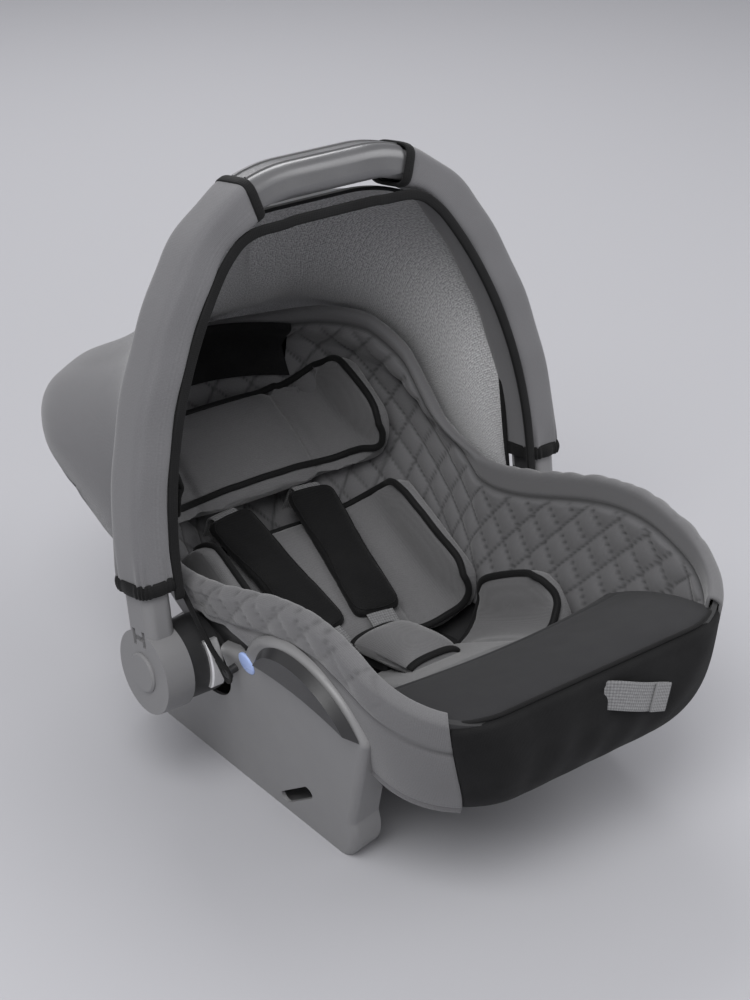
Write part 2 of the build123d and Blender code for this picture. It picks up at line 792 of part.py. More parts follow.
button_start = drum_start + button_set_in
button_inner_radius = drum_cavity_radius + button_travel + leaf_thickness + fit_gap
gear_start = drum_start - cloth_gap + lock_ring_length + lock_clearance
spring_start = gear_start + lock_gear_length + cloth_gap + spring_wire / 2
drum_wall_start = spring_start + lock_travel + spring_turns * (spring_wire + spring_slack) + cloth_gap
with BuildPart() as drum:
    with BuildSketch(pivot_plane.offset(drum_start)):
        Circle(drum_radius)
    extrude(amount=arch_inner_half - drum_start)
    with BuildSketch(pivot_plane.offset(drum_start)):
        Circle(drum_cavity_radius)
    extrude(amount=drum_wall_start - drum_start, mode=Mode.SUBTRACT)
    with BuildSketch(pivot_plane.offset(drum_wall_start)):
        Circle(pin_radius + running_gap)
    extrude(amount=arch_inner_half - drum_wall_start, mode=Mode.SUBTRACT)
    extrude(press_face(button_plane.offset(button_start - fit_gap), drum_cavity_radius - lock_clearance,
                       drum_radius + lock_clearance, button_half_height + fit_gap),
            amount=button_width + 2 * fit_gap, mode=Mode.SUBTRACT)
finish_pair(drum, "hub_drum")

with BuildPart() as button:
    extrude(press_face(button_plane.offset(button_start), button_inner_radius, button_outer_radius,
                       button_half_height), amount=button_width)
    outward = Axis(button_plane.origin, button_plane.x_dir)
    face_edges = button.faces().sort_by(outward)[-1].edges()
    chamfer(face_edges, button_edge)
finish_pair(button, "release_button")

leaf_reach = button_inner_radius - cloth_gap - leaf_thickness
leaf_end = button_half_height - leaf_thickness
leaf_end_reach = sqrt((drum_cavity_radius - cloth_gap - leaf_thickness) ** 2 - leaf_end ** 2)
with BuildPart() as leaf:
    with BuildSketch(button_plane.offset(button_start + button_width / 4)):
        with BuildLine():
            ThreePointArc((leaf_end_reach, -leaf_end), (leaf_reach, 0), (leaf_end_reach, leaf_end))
            offset(amount=leaf_thickness, side=Side.RIGHT)
        make_face()
    extrude(amount=button_width / 2)
finish_pair(leaf, "button_spring")

with BuildPart() as pin:
    with BuildSketch(pivot_plane.offset(pin_start)):
        Circle(pin_radius - running_gap / 2)
    extrude(amount=pin_end - pin_start - cloth_gap)
finish_pair(pin, "pivot_pin")

with BuildPart() as lock_ring:
    with BuildSketch(pivot_plane.offset(drum_start - cloth_gap)):
        Circle(lock_ring_radius)
        Circle(pin_radius + running_gap, mode=Mode.SUBTRACT)
    extrude(amount=lock_ring_length)
    with BuildSketch(pivot_plane.offset(drum_start - cloth_gap + lock_ring_length)):
        with PolarLocations(lock_ring_radius, lock_teeth):
            Rectangle(lock_tooth_depth * 2, lock_tooth_depth)
    extrude(amount=-lock_ring_length / 2, mode=Mode.SUBTRACT)
finish_pair(lock_ring, "lock_ring")

with BuildPart() as lock_gear:
    with BuildSketch(pivot_plane.offset(gear_start)):
        Circle(lock_gear_radius - lock_tooth_depth)
        with PolarLocations(lock_gear_radius - lock_tooth_depth, lock_teeth):
            Rectangle(lock_tooth_depth * 2, lock_tooth_depth)
        Circle(pin_radius + running_gap, mode=Mode.SUBTRACT)
    extrude(amount=lock_gear_length)
finish_pair(lock_gear, "lock_gear")

# Lock spring: a helix from the gear to the drum's end wall
spring_length = drum_wall_start - cloth_gap - spring_wire / 2 - spring_start
with BuildPart() as lock_spring:
    with BuildLine():
        coil = Helix(spring_length / spring_turns, spring_length, spring_radius,
                     center=(-spring_start, 0, hub_height), direction=(-1, 0, 0))
    with BuildSketch(Plane(origin=coil @ 0, z_dir=coil % 0)):
        RegularPolygon(spring_wire / 2, 4)
    sweep(path=coil, is_frenet=True)
finish_pair(lock_spring, "lock_spring")

with BuildPart() as hub_cap:
    with BuildSketch(pivot_plane.offset(arch_half_width)):
        Circle(hub_cap_radius)
    extrude(amount=hub_cap_height)
    chamfer(hub_cap.faces().sort_by(Axis.X)[0].edges(), hub_cap_edge)
finish_pair(hub_cap, "hub_cap")

# Side rails on a slanted plane: x runs to the foot end, y up the slant
rail_plane = Plane(
    origin=(-rail_floor_offset, 0, 0),
    x_dir=(0, -1, 0),
    z_dir=(-cos(radians(rail_slant)), 0, -sin(radians(rail_slant))),
)
rail_root = -rail_thickness * sin(radians(rail_slant)) - 2 * rail_wall


def on_rail(reach, height):
    """Point of the slanted rail face at a reach along the seat and a height above the floor."""
    return -reach, height / cos(radians(rail_slant))


def rail_outline(plane, inset):
    """Side outline of a rail, inset: flat sole, toe, leaning front, belt-guide horn, tail."""
    with BuildSketch(plane) as outline:
        with BuildLine():
            sole_rear = (-rail_flat_rear, rail_root)
            sole_front = (-rail_flat_front, rail_root)
            toe = on_rail(rail_toe_reach, rail_toe_height)
            horn_front = on_rail(rail_horn_front, rail_horn_front_height)
            horn_rear = on_rail(rail_horn_rear, rail_horn_rear_height)
            shoulder = on_rail(rail_shoulder_reach, rail_shoulder_height)
            tail = on_rail(rail_tail_reach, rail_tail_height)
            Line(sole_rear, sole_front)
            ThreePointArc(sole_front, on_rail(between(rail_flat_front, rail_toe_reach, rail_toe_bulge[0]),
                                              rail_toe_height * rail_toe_bulge[1]), toe)
            Line(toe, horn_front)
            ThreePointArc(horn_front, on_rail(rail_horn_top, rail_horn_top_height), horn_rear)
            Line(horn_rear, shoulder)
            Line(shoulder, tail)
            ThreePointArc(tail, on_rail(between(rail_flat_rear, rail_tail_reach, rail_tail_bulge[0]),
                                        rail_tail_height * rail_tail_bulge[1]), sole_rear)
        make_face()
        fillet(outline.vertices(), rail_corner_radius)
        if inset > 0:
            offset(amount=-inset, mode=Mode.REPLACE)
    return outline.sketch


with BuildPart() as rail_hollow:
    extrude(rail_outline(rail_plane.offset(-rail_wall), rail_wall), amount=-rail_thickness)
    split(bisect_by=Plane.XY.offset(rail_wall), keep=Keep.TOP)
with BuildPart() as rail:
    extrude(rail_outline(rail_plane, 0), amount=-rail_thickness)
    outer_face = rail.faces().sort_by(Axis(rail_plane.origin, rail_plane.z_dir))[-1]
    fillet(outer_face.edges(), rail_edge_radius)
    add(rail_hollow.part, mode=Mode.SUBTRACT)
    rib_plane = rail_plane.offset(-rail_wall / 2)
    for index in range(rail_ribs):
        reach = rail_rib_start + rail_rib_spacing * index
        with BuildSketch(rib_plane):
            with Locations(on_rail(reach, rail_shoulder_height / 2)):
                Rectangle(rail_rib_thickness, rail_shoulder_height * rail_rib_share)
        extrude(amount=-rail_rib_depth)
    with BuildSketch(rail_plane):
        with Locations(Location((*on_rail(belt_slot_centre, belt_slot_height), 0), belt_slot_angle)):
            SlotOverall(belt_slot_length, belt_slot_width)
    extrude(amount=-2 * rail_wall, mode=Mode.SUBTRACT)
    with Locations((-arch_half_width / 2, 0, hub_height)):
        Cylinder(rail_hub_clearance, arch_half_width, rotation=(0, 90, 0), mode=Mode.SUBTRACT)
    add(bucket_form(-cloth_gap), mode=Mode.SUBTRACT)
    add(skirt_room.part, mode=Mode.SUBTRACT)
    split(bisect_by=Plane.XY, keep=Keep.TOP)
finish_pair(rail, "base_rail")

with BuildPart() as belt_guide:
    with BuildSketch(rail_plane.offset(fit_gap)):
        with BuildLine():
            guide_front = on_rail(rail_horn_front + guide_margin, rail_horn_front_height + guide_margin / 2)
            guide_rear = on_rail(rail_horn_rear - guide_rear_margin, rail_horn_rear_height + guide_margin)
            for drop in (guide_margin / 2, guide_depth):
                ThreePointArc(guide_front, on_rail(rail_horn_top, rail_horn_top_height - drop), guide_rear)
        make_face()
    extrude(amount=guide_height, taper=guide_taper)
finish_pair(belt_guide, "belt_guide")

with BuildPart() as belt_marker:
    with BuildSketch(rail_plane):
        with Locations(on_rail(marker_reach, marker_height)):
            Circle(marker_radius)
    extrude(amount=marker_thickness)
finish_pair(belt_marker, "belt_marker")

# Peg that holds the canopy's front loop
with BuildPart() as hook:
    hook_spot = on_rail(hook_reach, hook_height)
    with BuildSketch(rail_plane):
        with Locations(hook_spot):
            Circle(hook_radius)
    extrude(amount=hook_length)
    with BuildSketch(rail_plane.offset(hook_length)):
        with Locations(hook_spot):
            Circle(hook_head_radius)
    extrude(amount=hook_radius)
    chamfer(hook.faces().sort_by(Axis.X)[0].edges(), hook_radius / 2)
finish_pair(hook, "canopy_peg")

# Shoulder straps: through the pads, down between the cushions and out through the back
strap_side = Plane(origin=shoulder_plane.origin, x_dir=shoulder_plane.x_dir, z_dir=-shoulder_plane.y_dir)
strap_points = ((strap_lower_end - shoulder_pad_start, strap_level), (strap_turn, strap_level),
                (strap_turn, strap_level - strap_drop))
with BuildPart() as shoulder_strap:
    add(side_ribbon(strap_side, strap_points, strap_bend_radius, 0))
finish_pair(shoulder_strap, "shoulder_strap")
with BuildPart() as strap_rooms:
    add(side_ribbon(strap_side, strap_points, strap_bend_radius, cloth_gap))
    mirror(about=Plane.YZ)

# Cushions that hug the child: a crowned middle with a wing rising on each side
def hugging_cushion(slope, reach, height, length, thickness, half, rise, corner, lean, draw, crease, crown):
    """Cushion on a slope, trimmed to the bucket's lining, with rounded leaning wings and sewn creases."""
    angle = radians(slope)
    across = Plane(origin=(0, reach, height), x_dir=(1, 0, 0), z_dir=(0, -cos(angle), -sin(angle)))
    beside = Plane(origin=(0, reach, height), x_dir=(0, cos(angle), sin(angle)), z_dir=(1, 0, 0))
    with BuildPart() as cushion:
        with BuildSketch(across.offset(max(lean, 0))):
            with BuildLine():
                ThreePointArc((-crease, 0), (0, crown), (crease, 0))
                for side in (-1, 1):
                    wing = TangentArc((side * crease, 0), (side * (half - wing_tip), rise), tangent=(side, 0))
                    ThreePointArc(wing @ 1, (side * (half - wing_tip / 2), rise + wing_tip / 2),
                                  (side * half, rise))
                    Line((side * half, rise), (side * half, -thickness))
                Line((-half, -thickness), (half, -thickness))
            make_face()
        extrude(amount=-length - max(lean, 0))
        with BuildSketch(beside) as outline:
            top = rise + wing_tip / 2
            Polygon((0, -thickness), (length, -thickness), (length - draw, top), (-lean, top), align=None)
            fillet(outline.vertices(), corner)
        extrude(amount=half * 2, both=True, mode=Mode.INTERSECT)
        add(bucket_seat, mode=Mode.INTERSECT)
    return cushion


with BuildPart() as head_cushion:
    add(hugging_cushion(head_slope, head_lower_reach, head_lower_height, head_length, head_thickness,
                        head_half_width, head_wing_rise, head_wing_radius, head_wing_lean, head_wing_draw,
                        head_crease, cushion_crown).part)
    add(strap_rooms.part, mode=Mode.SUBTRACT)
finish(head_cushion, "head_cushion")
body_cushion = hugging_cushion(body_slope, body_lower_reach, body_lower_height, body_length,
                               body_thickness, body_half_width, body_wing_rise, body_wing_radius,
                               body_wing_lean, body_wing_draw, body_crease, cushion_crown)
finish(body_cushion, "body_cushion")
with BuildPart() as seat_cushion:
    add(hugging_cushion(seat_slope, seat_front_reach, seat_front_height, seat_length, seat_thickness,
                        seat_half_width, seat_wing_rise, seat_wing_radius, seat_wing_lean, seat_wing_draw,
                        seat_crease, seat_crown).part)
    add(crotch_slot.part, mode=Mode.SUBTRACT)
finish(seat_cushion, "seat_cushion")

with BuildPart() as back_panel:
    add(bucket_seat)
    add(bucket_form(seat_inset + back_panel_thickness), mode=Mode.SUBTRACT)
    with BuildSketch(Plane.XZ):
        with Locations((0, (back_panel_lower + back_panel_upper) / 2)):
            RectangleRounded(2 * back_panel_half_width, back_panel_upper - back_panel_lower,
                             back_panel_thickness)
    extrude(amount=-overall_length / 2, mode=Mode.INTERSECT)
    add(head_cushion.part, mode=Mode.SUBTRACT)
finish(back_panel, "back_panel")

# Shoulder pads: outlines drawn in at the seam and at the top, full in the middle
pad_middle = Plane(origin=shoulder_plane.from_local_coords((shoulder_pad_length / 2, 0, 0)),
                   x_dir=shoulder_plane.x_dir, z_dir=shoulder_plane.z_dir)
with BuildPart() as shoulder_pad:
    for share, inset in pad_swelling:
        with BuildSketch(pad_middle.offset(shoulder_pad_thickness * share)):
            RectangleRounded(shoulder_pad_length - 2 * inset, shoulder_pad_width - 2 * inset,
                             shoulder_pad_corner)
    loft(ruled=True)
    with BuildSketch(Plane(origin=pad_middle.origin, x_dir=pad_middle.y_dir, z_dir=pad_middle.x_dir)):
        with Locations((0, strap_level - webbing_thickness / 2)):
            Rectangle(webbing_width + 2 * cloth_gap, webbing_thickness + 2 * cloth_gap)
    extrude(amount=shoulder_pad_length, both=True, mode=Mode.SUBTRACT)
finish_pair(shoulder_pad, "shoulder_pad")

with BuildPart() as yoke:
    with BuildSketch(body_plane.offset(-yoke_depth)):
        with Locations((strap_bend - webbing_thickness / 2, 0)):
            RectangleRounded(yoke_height, yoke_width, yoke_corner)
        with Locations((yoke_slot, 0)):
            Rectangle(webbing_gap, webbing_room, mode=Mode.SUBTRACT)
    extrude(amount=yoke_thickness)
    add(strap_rooms.part, mode=Mode.SUBTRACT)
finish(yoke, "harness_yoke")

# Crotch pad and the buckle below it, on a plane that rises to the foot end
pad_tilt = atan2(crotch_pad_front_height - crotch_pad_rear_height, crotch_pad_rear - crotch_pad_front)
with BuildPart() as crotch_pad:
    with BuildSketch(Plane.YZ):
        with BuildLine():
            front_top = (crotch_pad_front, crotch_pad_front_height + crotch_pad_edge)
            rear_top = (crotch_pad_rear, crotch_pad_rear_height + 2 * crotch_pad_edge)
            Polyline(front_top, (crotch_pad_front, crotch_pad_front_height),
                     (crotch_pad_rear, crotch_pad_rear_height), rear_top)
            crown = (between(crotch_pad_front, crotch_pad_rear, 0.5),
                     between(crotch_pad_front_height, crotch_pad_rear_height, 0.5) + crotch_pad_rise)
            ThreePointArc(rear_top, crown, front_top)
        make_face()
    extrude(amount=crotch_pad_width / 2, both=True)
    fillet(crotch_pad.edges().filter_by(Axis.X).group_by(Axis.Z)[-1]
           + crotch_pad.edges().filter_by(GeomType.CIRCLE), crotch_pad_edge_radius)
finish(crotch_pad, "crotch_pad")

buckle_plane = Plane(
    origin=(0, crotch_pad_rear - buckle_setback,
            crotch_pad_rear_height + buckle_setback * tan(pad_tilt) - cloth_gap / cos(pad_tilt)),
    x_dir=(1, 0, 0), z_dir=(0, sin(pad_tilt), cos(pad_tilt)))
tongue_level = -buckle_thickness / 2 - tongue_thickness / 2
with BuildPart() as tongue_plate:
    with BuildSketch(buckle_plane.offset(tongue_level)):
        with Locations((-tongue_inner_gap - tongue_width / 2, (tongue_head_start - tongue_depth) / 2)):
            Rectangle(tongue_width, tongue_head_start + tongue_depth)
        with Locations((-shoulder_lower_spread + tongue_head_start,
                        tongue_head_start + tongue_head_length / 2)):
            RectangleRounded(tongue_head_width, tongue_head_length, tongue_thickness)
    extrude(amount=tongue_thickness)
    add(strap_rooms.part, mode=Mode.SUBTRACT)
finish_pair(tongue_plate, "tongue")

buckle_grip = buckle_plane.from_local_coords((0, -buckle_length + crotch_strap_grip, -buckle_thickness / 2))
crotch_points = ((buckle_grip.Y, buckle_grip.Z), (crotch_slot_reach, crotch_strap_top),
                 (crotch_slot_reach, crotch_strap_low))
with BuildPart() as crotch_strap:
    add(side_ribbon(Plane.YZ, crotch_points, under_strap_radius, 0))
finish(crotch_strap, "crotch_strap")

with BuildPart() as buckle:
    with BuildSketch(buckle_plane):
        with Locations((0, -buckle_length / 2)):
            RectangleRounded(buckle_width, buckle_length, 2 * buckle_edge_radius)
    extrude(amount=-buckle_thickness)
    buckle_up = Axis(buckle_plane.origin, buckle_plane.z_dir)
    fillet(buckle.faces().sort_by(buckle_up)[-1].edges(), buckle_edge_radius)
    with BuildSketch(buckle_plane):
        with Locations((0, -buckle_button_inset - buckle_button_length / 2)):
            Rectangle(buckle_button_width, buckle_button_length)
    extrude(amount=-buckle_button_thickness - buckle_button_travel - 2 * cloth_gap, mode=Mode.SUBTRACT)
    with BuildSketch(buckle_plane.offset(tongue_level - fit_gap)):
        with Locations((-tongue_inner_gap - tongue_width / 2, -tongue_depth / 2),
                       (tongue_inner_gap + tongue_width / 2, -tongue_depth / 2)):
            Rectangle(tongue_width + 2 * fit_gap, tongue_depth + 2 * fit_gap)
    extrude(amount=tongue_thickness + 2 * fit_gap, mode=Mode.SUBTRACT)
    add(side_ribbon(Plane.YZ, crotch_points, under_strap_radius, cloth_gap), mode=Mode.SUBTRACT)
finish(buckle, "buckle_body")

with BuildPart() as buckle_button:
    with BuildSketch(buckle_plane.offset(-cloth_gap)):
        with Locations((0, -buckle_button_inset - buckle_button_length / 2)):
            RectangleRounded(buckle_button_width - 2 * fit_gap, buckle_button_length - 2 * fit_gap,
                             buckle_edge_radius / 2)
    extrude(amount=-buckle_button_thickness)
finish(buckle_button, "buckle_button")

with BuildPart() as crotch_anchor:
    anchor_top = bucket_floor_height - cloth_gap
    with BuildSketch(Plane.XY.offset(anchor_top)):
        with Locations((0, crotch_slot_reach - webbing_thickness / 2)):
            RectangleRounded(crotch_anchor_width, crotch_anchor_length, crotch_anchor_thickness)
            Rectangle(webbing_width + 2 * cloth_gap, webbing_thickness + 2 * cloth_gap, mode=Mode.SUBTRACT)
    extrude(amount=-crotch_anchor_thickness)
finish(crotch_anchor, "crotch_anchor")

# Strap adjuster behind the front wall, with a lever that nips the strap
adjuster_middle = (adjuster_front + adjuster_rear) / 2
adjuster_top = adjuster_height + adjuster_above
lever_axis = (0, adjuster_rear - (adjuster_depth - lever_length) / 2 - lever_pin_inset,
              adjuster_top - lever_drop - lever_thickness / 2)
with BuildPart() as adjuster:
    with Locations((0, adjuster_middle, adjuster_height + (adjuster_above - adjuster_below) / 2)):
        Box(adjuster_width, adjuster_depth, adjuster_above + adjuster_below)
    fillet(adjuster.edges().filter_by(Axis.Z), adjuster_edge_radius)
    with Locations((0, adjuster_middle, adjuster_top - lever_recess / 2)):
        Box(lever_width + 2 * fit_gap, lever_length + 4 * fit_gap, lever_recess, mode=Mode.SUBTRACT)
    with Locations(lever_axis):
        Cylinder(lever_pin_radius + running_gap, lever_pin_length + 2 * fit_gap, rotation=(0, 90, 0),
                 mode=Mode.SUBTRACT)
    add(side_ribbon(Plane.YZ, adjuster_path, under_strap_radius, cloth_gap), mode=Mode.SUBTRACT)
finish(adjuster, "adjuster_body")
with BuildPart() as lever:
    with Locations((0, adjuster_middle, adjuster_top - lever_drop - lever_thickness / 2)):
        Box(lever_width, lever_length, lever_thickness)
    fillet(lever.edges().filter_by(Axis.X), lever_pin_radius)
    with Locations(lever_axis):
        Cylinder(lever_pin_radius, lever_pin_length, rotation=(0, 90, 0))
finish(lever, "adjuster_lever")
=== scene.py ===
"""Looks of an infant carrier seat: cloth cover, canopy, cushions, harness and finishes round its frame.

Lengths are metres in the frame's own axes: X across the seat, -Y the foot end, +Y the head end, Z up.
"""
import json
import logging
import math
from dataclasses import dataclass, field, replace
from enum import Enum

import bmesh
import bpy
import numpy as np
from mathutils import Matrix, Vector
from mathutils.bvhtree import BVHTree

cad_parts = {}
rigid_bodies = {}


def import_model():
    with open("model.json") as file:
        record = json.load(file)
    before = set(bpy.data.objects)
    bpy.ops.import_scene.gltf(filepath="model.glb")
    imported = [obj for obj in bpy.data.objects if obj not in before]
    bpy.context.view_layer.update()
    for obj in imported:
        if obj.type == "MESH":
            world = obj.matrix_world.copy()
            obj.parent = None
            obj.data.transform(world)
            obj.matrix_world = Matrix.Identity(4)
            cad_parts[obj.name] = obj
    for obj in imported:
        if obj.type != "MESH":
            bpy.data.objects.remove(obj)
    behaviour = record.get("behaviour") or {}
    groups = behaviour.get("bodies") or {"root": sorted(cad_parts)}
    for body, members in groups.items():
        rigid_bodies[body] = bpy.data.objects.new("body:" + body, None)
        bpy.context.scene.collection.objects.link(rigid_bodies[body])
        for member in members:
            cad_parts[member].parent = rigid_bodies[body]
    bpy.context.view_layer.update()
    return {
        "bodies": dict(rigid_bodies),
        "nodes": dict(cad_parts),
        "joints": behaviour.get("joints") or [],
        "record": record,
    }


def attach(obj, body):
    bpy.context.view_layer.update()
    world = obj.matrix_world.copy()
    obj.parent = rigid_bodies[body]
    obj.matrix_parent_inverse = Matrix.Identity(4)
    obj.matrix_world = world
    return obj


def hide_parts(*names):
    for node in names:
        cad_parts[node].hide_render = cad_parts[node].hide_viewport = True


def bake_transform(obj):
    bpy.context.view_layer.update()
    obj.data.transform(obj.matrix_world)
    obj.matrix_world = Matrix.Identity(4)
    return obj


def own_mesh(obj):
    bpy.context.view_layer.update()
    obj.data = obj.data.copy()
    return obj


LOG = logging.getLogger("carrier_seat")
# Name of the point attribute that holds the painted shade of the cover's sewn grooves.
GROOVE_SHADE_ATTRIBUTE = "painted_groove_shade"
Array = np.ndarray
Values = float | np.ndarray
Pair = tuple[float, float]
Triple = tuple[float, float, float]
Object = bpy.types.Object
Mesh = bpy.types.Mesh
Material = bpy.types.Material
Node = bpy.types.Node
NodeTree = bpy.types.NodeTree
Socket = bpy.types.NodeSocket
Sockets = tuple[tuple[str, str], ...]

NUMBER = "NodeSocketFloat"
VECTOR = "NodeSocketVector"
GRAIN_SCALE = 1900.0
GRAIN_RELIEF = 0.12
GLOSS_BELOW = 0.06
GLOSS_ABOVE = 0.08
SHEEN_ROUGHNESS = 0.45
CLOTH_SPECULAR = 0.25
# Colour of the painted shade in the cover's sewn grooves.
GROOVE_SHADE_TONE = (0.030, 0.030, 0.031, 1.0)


class Kind(Enum):
    """Family of a finish, which picks the pattern that its surface carries."""

    CLOTH = "cloth"
    KNIT_MESH = "knit mesh"
    WEBBING = "webbing"
    MOULDED = "moulded"
    LACQUER = "lacquer"
    METAL = "metal"


class Side(Enum):
    """Side of the seat, with the sign of its X."""

    LEFT = -1
    RIGHT = 1

    @property
    def word(self) -> str:
        """Name of the side as the frame's nodes have it."""
        return self.name.lower()


@dataclass(frozen=True)
class Family:
    """What the finishes of one kind share: pattern scale, shares of both patterns, relief and metal."""

    cloth: bool = False
    cloud_scale: float = 14.0
    speckle_share: float = 0.45
    pattern_share: float = 0.5
    bump_depth: float = 0.00015
    metallic: float = 0.0
    coat: float = 0.0


CLOTH_FAMILY = Family(cloth=True, cloud_scale=28.0, bump_depth=0.0006)
FAMILIES = {Kind.CLOTH: CLOTH_FAMILY,
            Kind.KNIT_MESH: replace(CLOTH_FAMILY, speckle_share=0.55),
            Kind.WEBBING: replace(CLOTH_FAMILY, speckle_share=0.25, pattern_share=0.75),
            Kind.MOULDED: Family(),
            Kind.LACQUER: Family(metallic=0.55, coat=0.3),
            Kind.METAL: Family(metallic=1.0)}


@dataclass(frozen=True)
class Finish:
    """One surface finish: two tones of colour, pattern size and gloss."""

    name: str
    kind: Kind
    tone: Triple
    fleck: Triple
    slot: str
    pitch: float = 0.0011
    relief: float = 0.35
    rough: float = 0.8
    sheen: float = 0.3
    on_uv: bool = False
    # Whether the finish paints shade into the sewn grooves along the piece's stitch lines.
    groove_shaded: bool = False


GREY_KNIT = Finish("grey_knit", Kind.CLOTH, (0.128, 0.127, 0.133), (0.160, 0.159, 0.166), "grey_cloth",
                   on_uv=True)
# The cover's finish carries painted shade in its sewn grooves.
COVER_KNIT = Finish("cover_knit", Kind.CLOTH, (0.118, 0.117, 0.121), (0.150, 0.149, 0.154), "grey_cloth",
                    on_uv=True, groove_shaded=True)
CUSHION_KNIT = Finish("cushion_knit", Kind.CLOTH, (0.122, 0.121, 0.124), (0.158, 0.157, 0.161), "grey_cloth")
CHARCOAL_KNIT = Finish("charcoal_knit", Kind.CLOTH, (0.019, 0.019, 0.0205), (0.030, 0.030, 0.032),
                       "charcoal_cloth", sheen=0.05, on_uv=True)
BLACK_KNIT = Finish("black_knit", Kind.CLOTH, (0.0030, 0.0030, 0.0033), (0.0065, 0.0065, 0.007), "black_cloth",
                    sheen=0.06)
BUMPER_KNIT = replace(BLACK_KNIT, name="bumper_knit", sheen=0.02, on_uv=True)
BLACK_TAPE = Finish("black_tape", Kind.WEBBING, (0.0028, 0.0028, 0.003), (0.0075, 0.0075, 0.008), "black_cloth",
                    pitch=0.0016, sheen=0.05, on_uv=True)
LINING_MESH = Finish("lining_mesh", Kind.KNIT_MESH, (0.17, 0.169, 0.173), (0.60, 0.60, 0.61), "grey_cloth",
                     pitch=0.0016, relief=0.5, on_uv=True)
STRAP_WEAVE = Finish("strap_weave", Kind.WEBBING, (0.105, 0.105, 0.108), (0.235, 0.235, 0.24), "webbing",
                     pitch=0.0024, relief=0.7, on_uv=True)
RAIL_PLASTIC = Finish("rail_plastic", Kind.MOULDED, (0.205, 0.204, 0.207), (0.222, 0.221, 0.224),
                      "shell_plastic", rough=0.38)
ARM_PLASTIC = Finish("arm_plastic", Kind.MOULDED, (0.182, 0.181, 0.185), (0.196, 0.195, 0.199),
                     "handle_plastic", rough=0.36)
DARK_PLASTIC = Finish("dark_plastic", Kind.MOULDED, (0.018, 0.018, 0.019), (0.026, 0.026, 0.027),
                      "dark_plastic", rough=0.42)
HORN_PLASTIC = Finish("horn_plastic", Kind.MOULDED, (0.020, 0.020, 0.021), (0.026, 0.026, 0.027),
                      "dark_plastic", rough=0.34)
SILVER_LACQUER = Finish("silver_lacquer", Kind.LACQUER, (0.135, 0.135, 0.139), (0.165, 0.165, 0.169),
                        "silver_plastic", rough=0.34)
BUTTON_SILVER = Finish("button_silver", Kind.LACQUER, (0.72, 0.72, 0.73), (0.78, 0.78, 0.79),
                       "silver_plastic", rough=0.3)
BLUE_DOT = Finish("blue_dot", Kind.MOULDED, (0.36, 0.47, 0.80), (0.40, 0.51, 0.82), "blue_plastic", rough=0.3)
RED_PRESS = Finish("red_press", Kind.MOULDED, (0.42, 0.018, 0.018), (0.48, 0.022, 0.022), "red_plastic",
                   rough=0.32)
PLATED_STEEL = Finish("plated_steel", Kind.METAL, (0.52, 0.52, 0.53), (0.58, 0.58, 0.59), "steel", rough=0.3)
ACETAL = Finish("acetal", Kind.MOULDED, (0.52, 0.52, 0.5), (0.55, 0.55, 0.53), "lock_plastic", rough=0.45)
COATED_LEVER = Finish("coated_lever", Kind.MOULDED, (0.05, 0.05, 0.052), (0.06, 0.06, 0.062), "lever_metal",
                      rough=0.4)


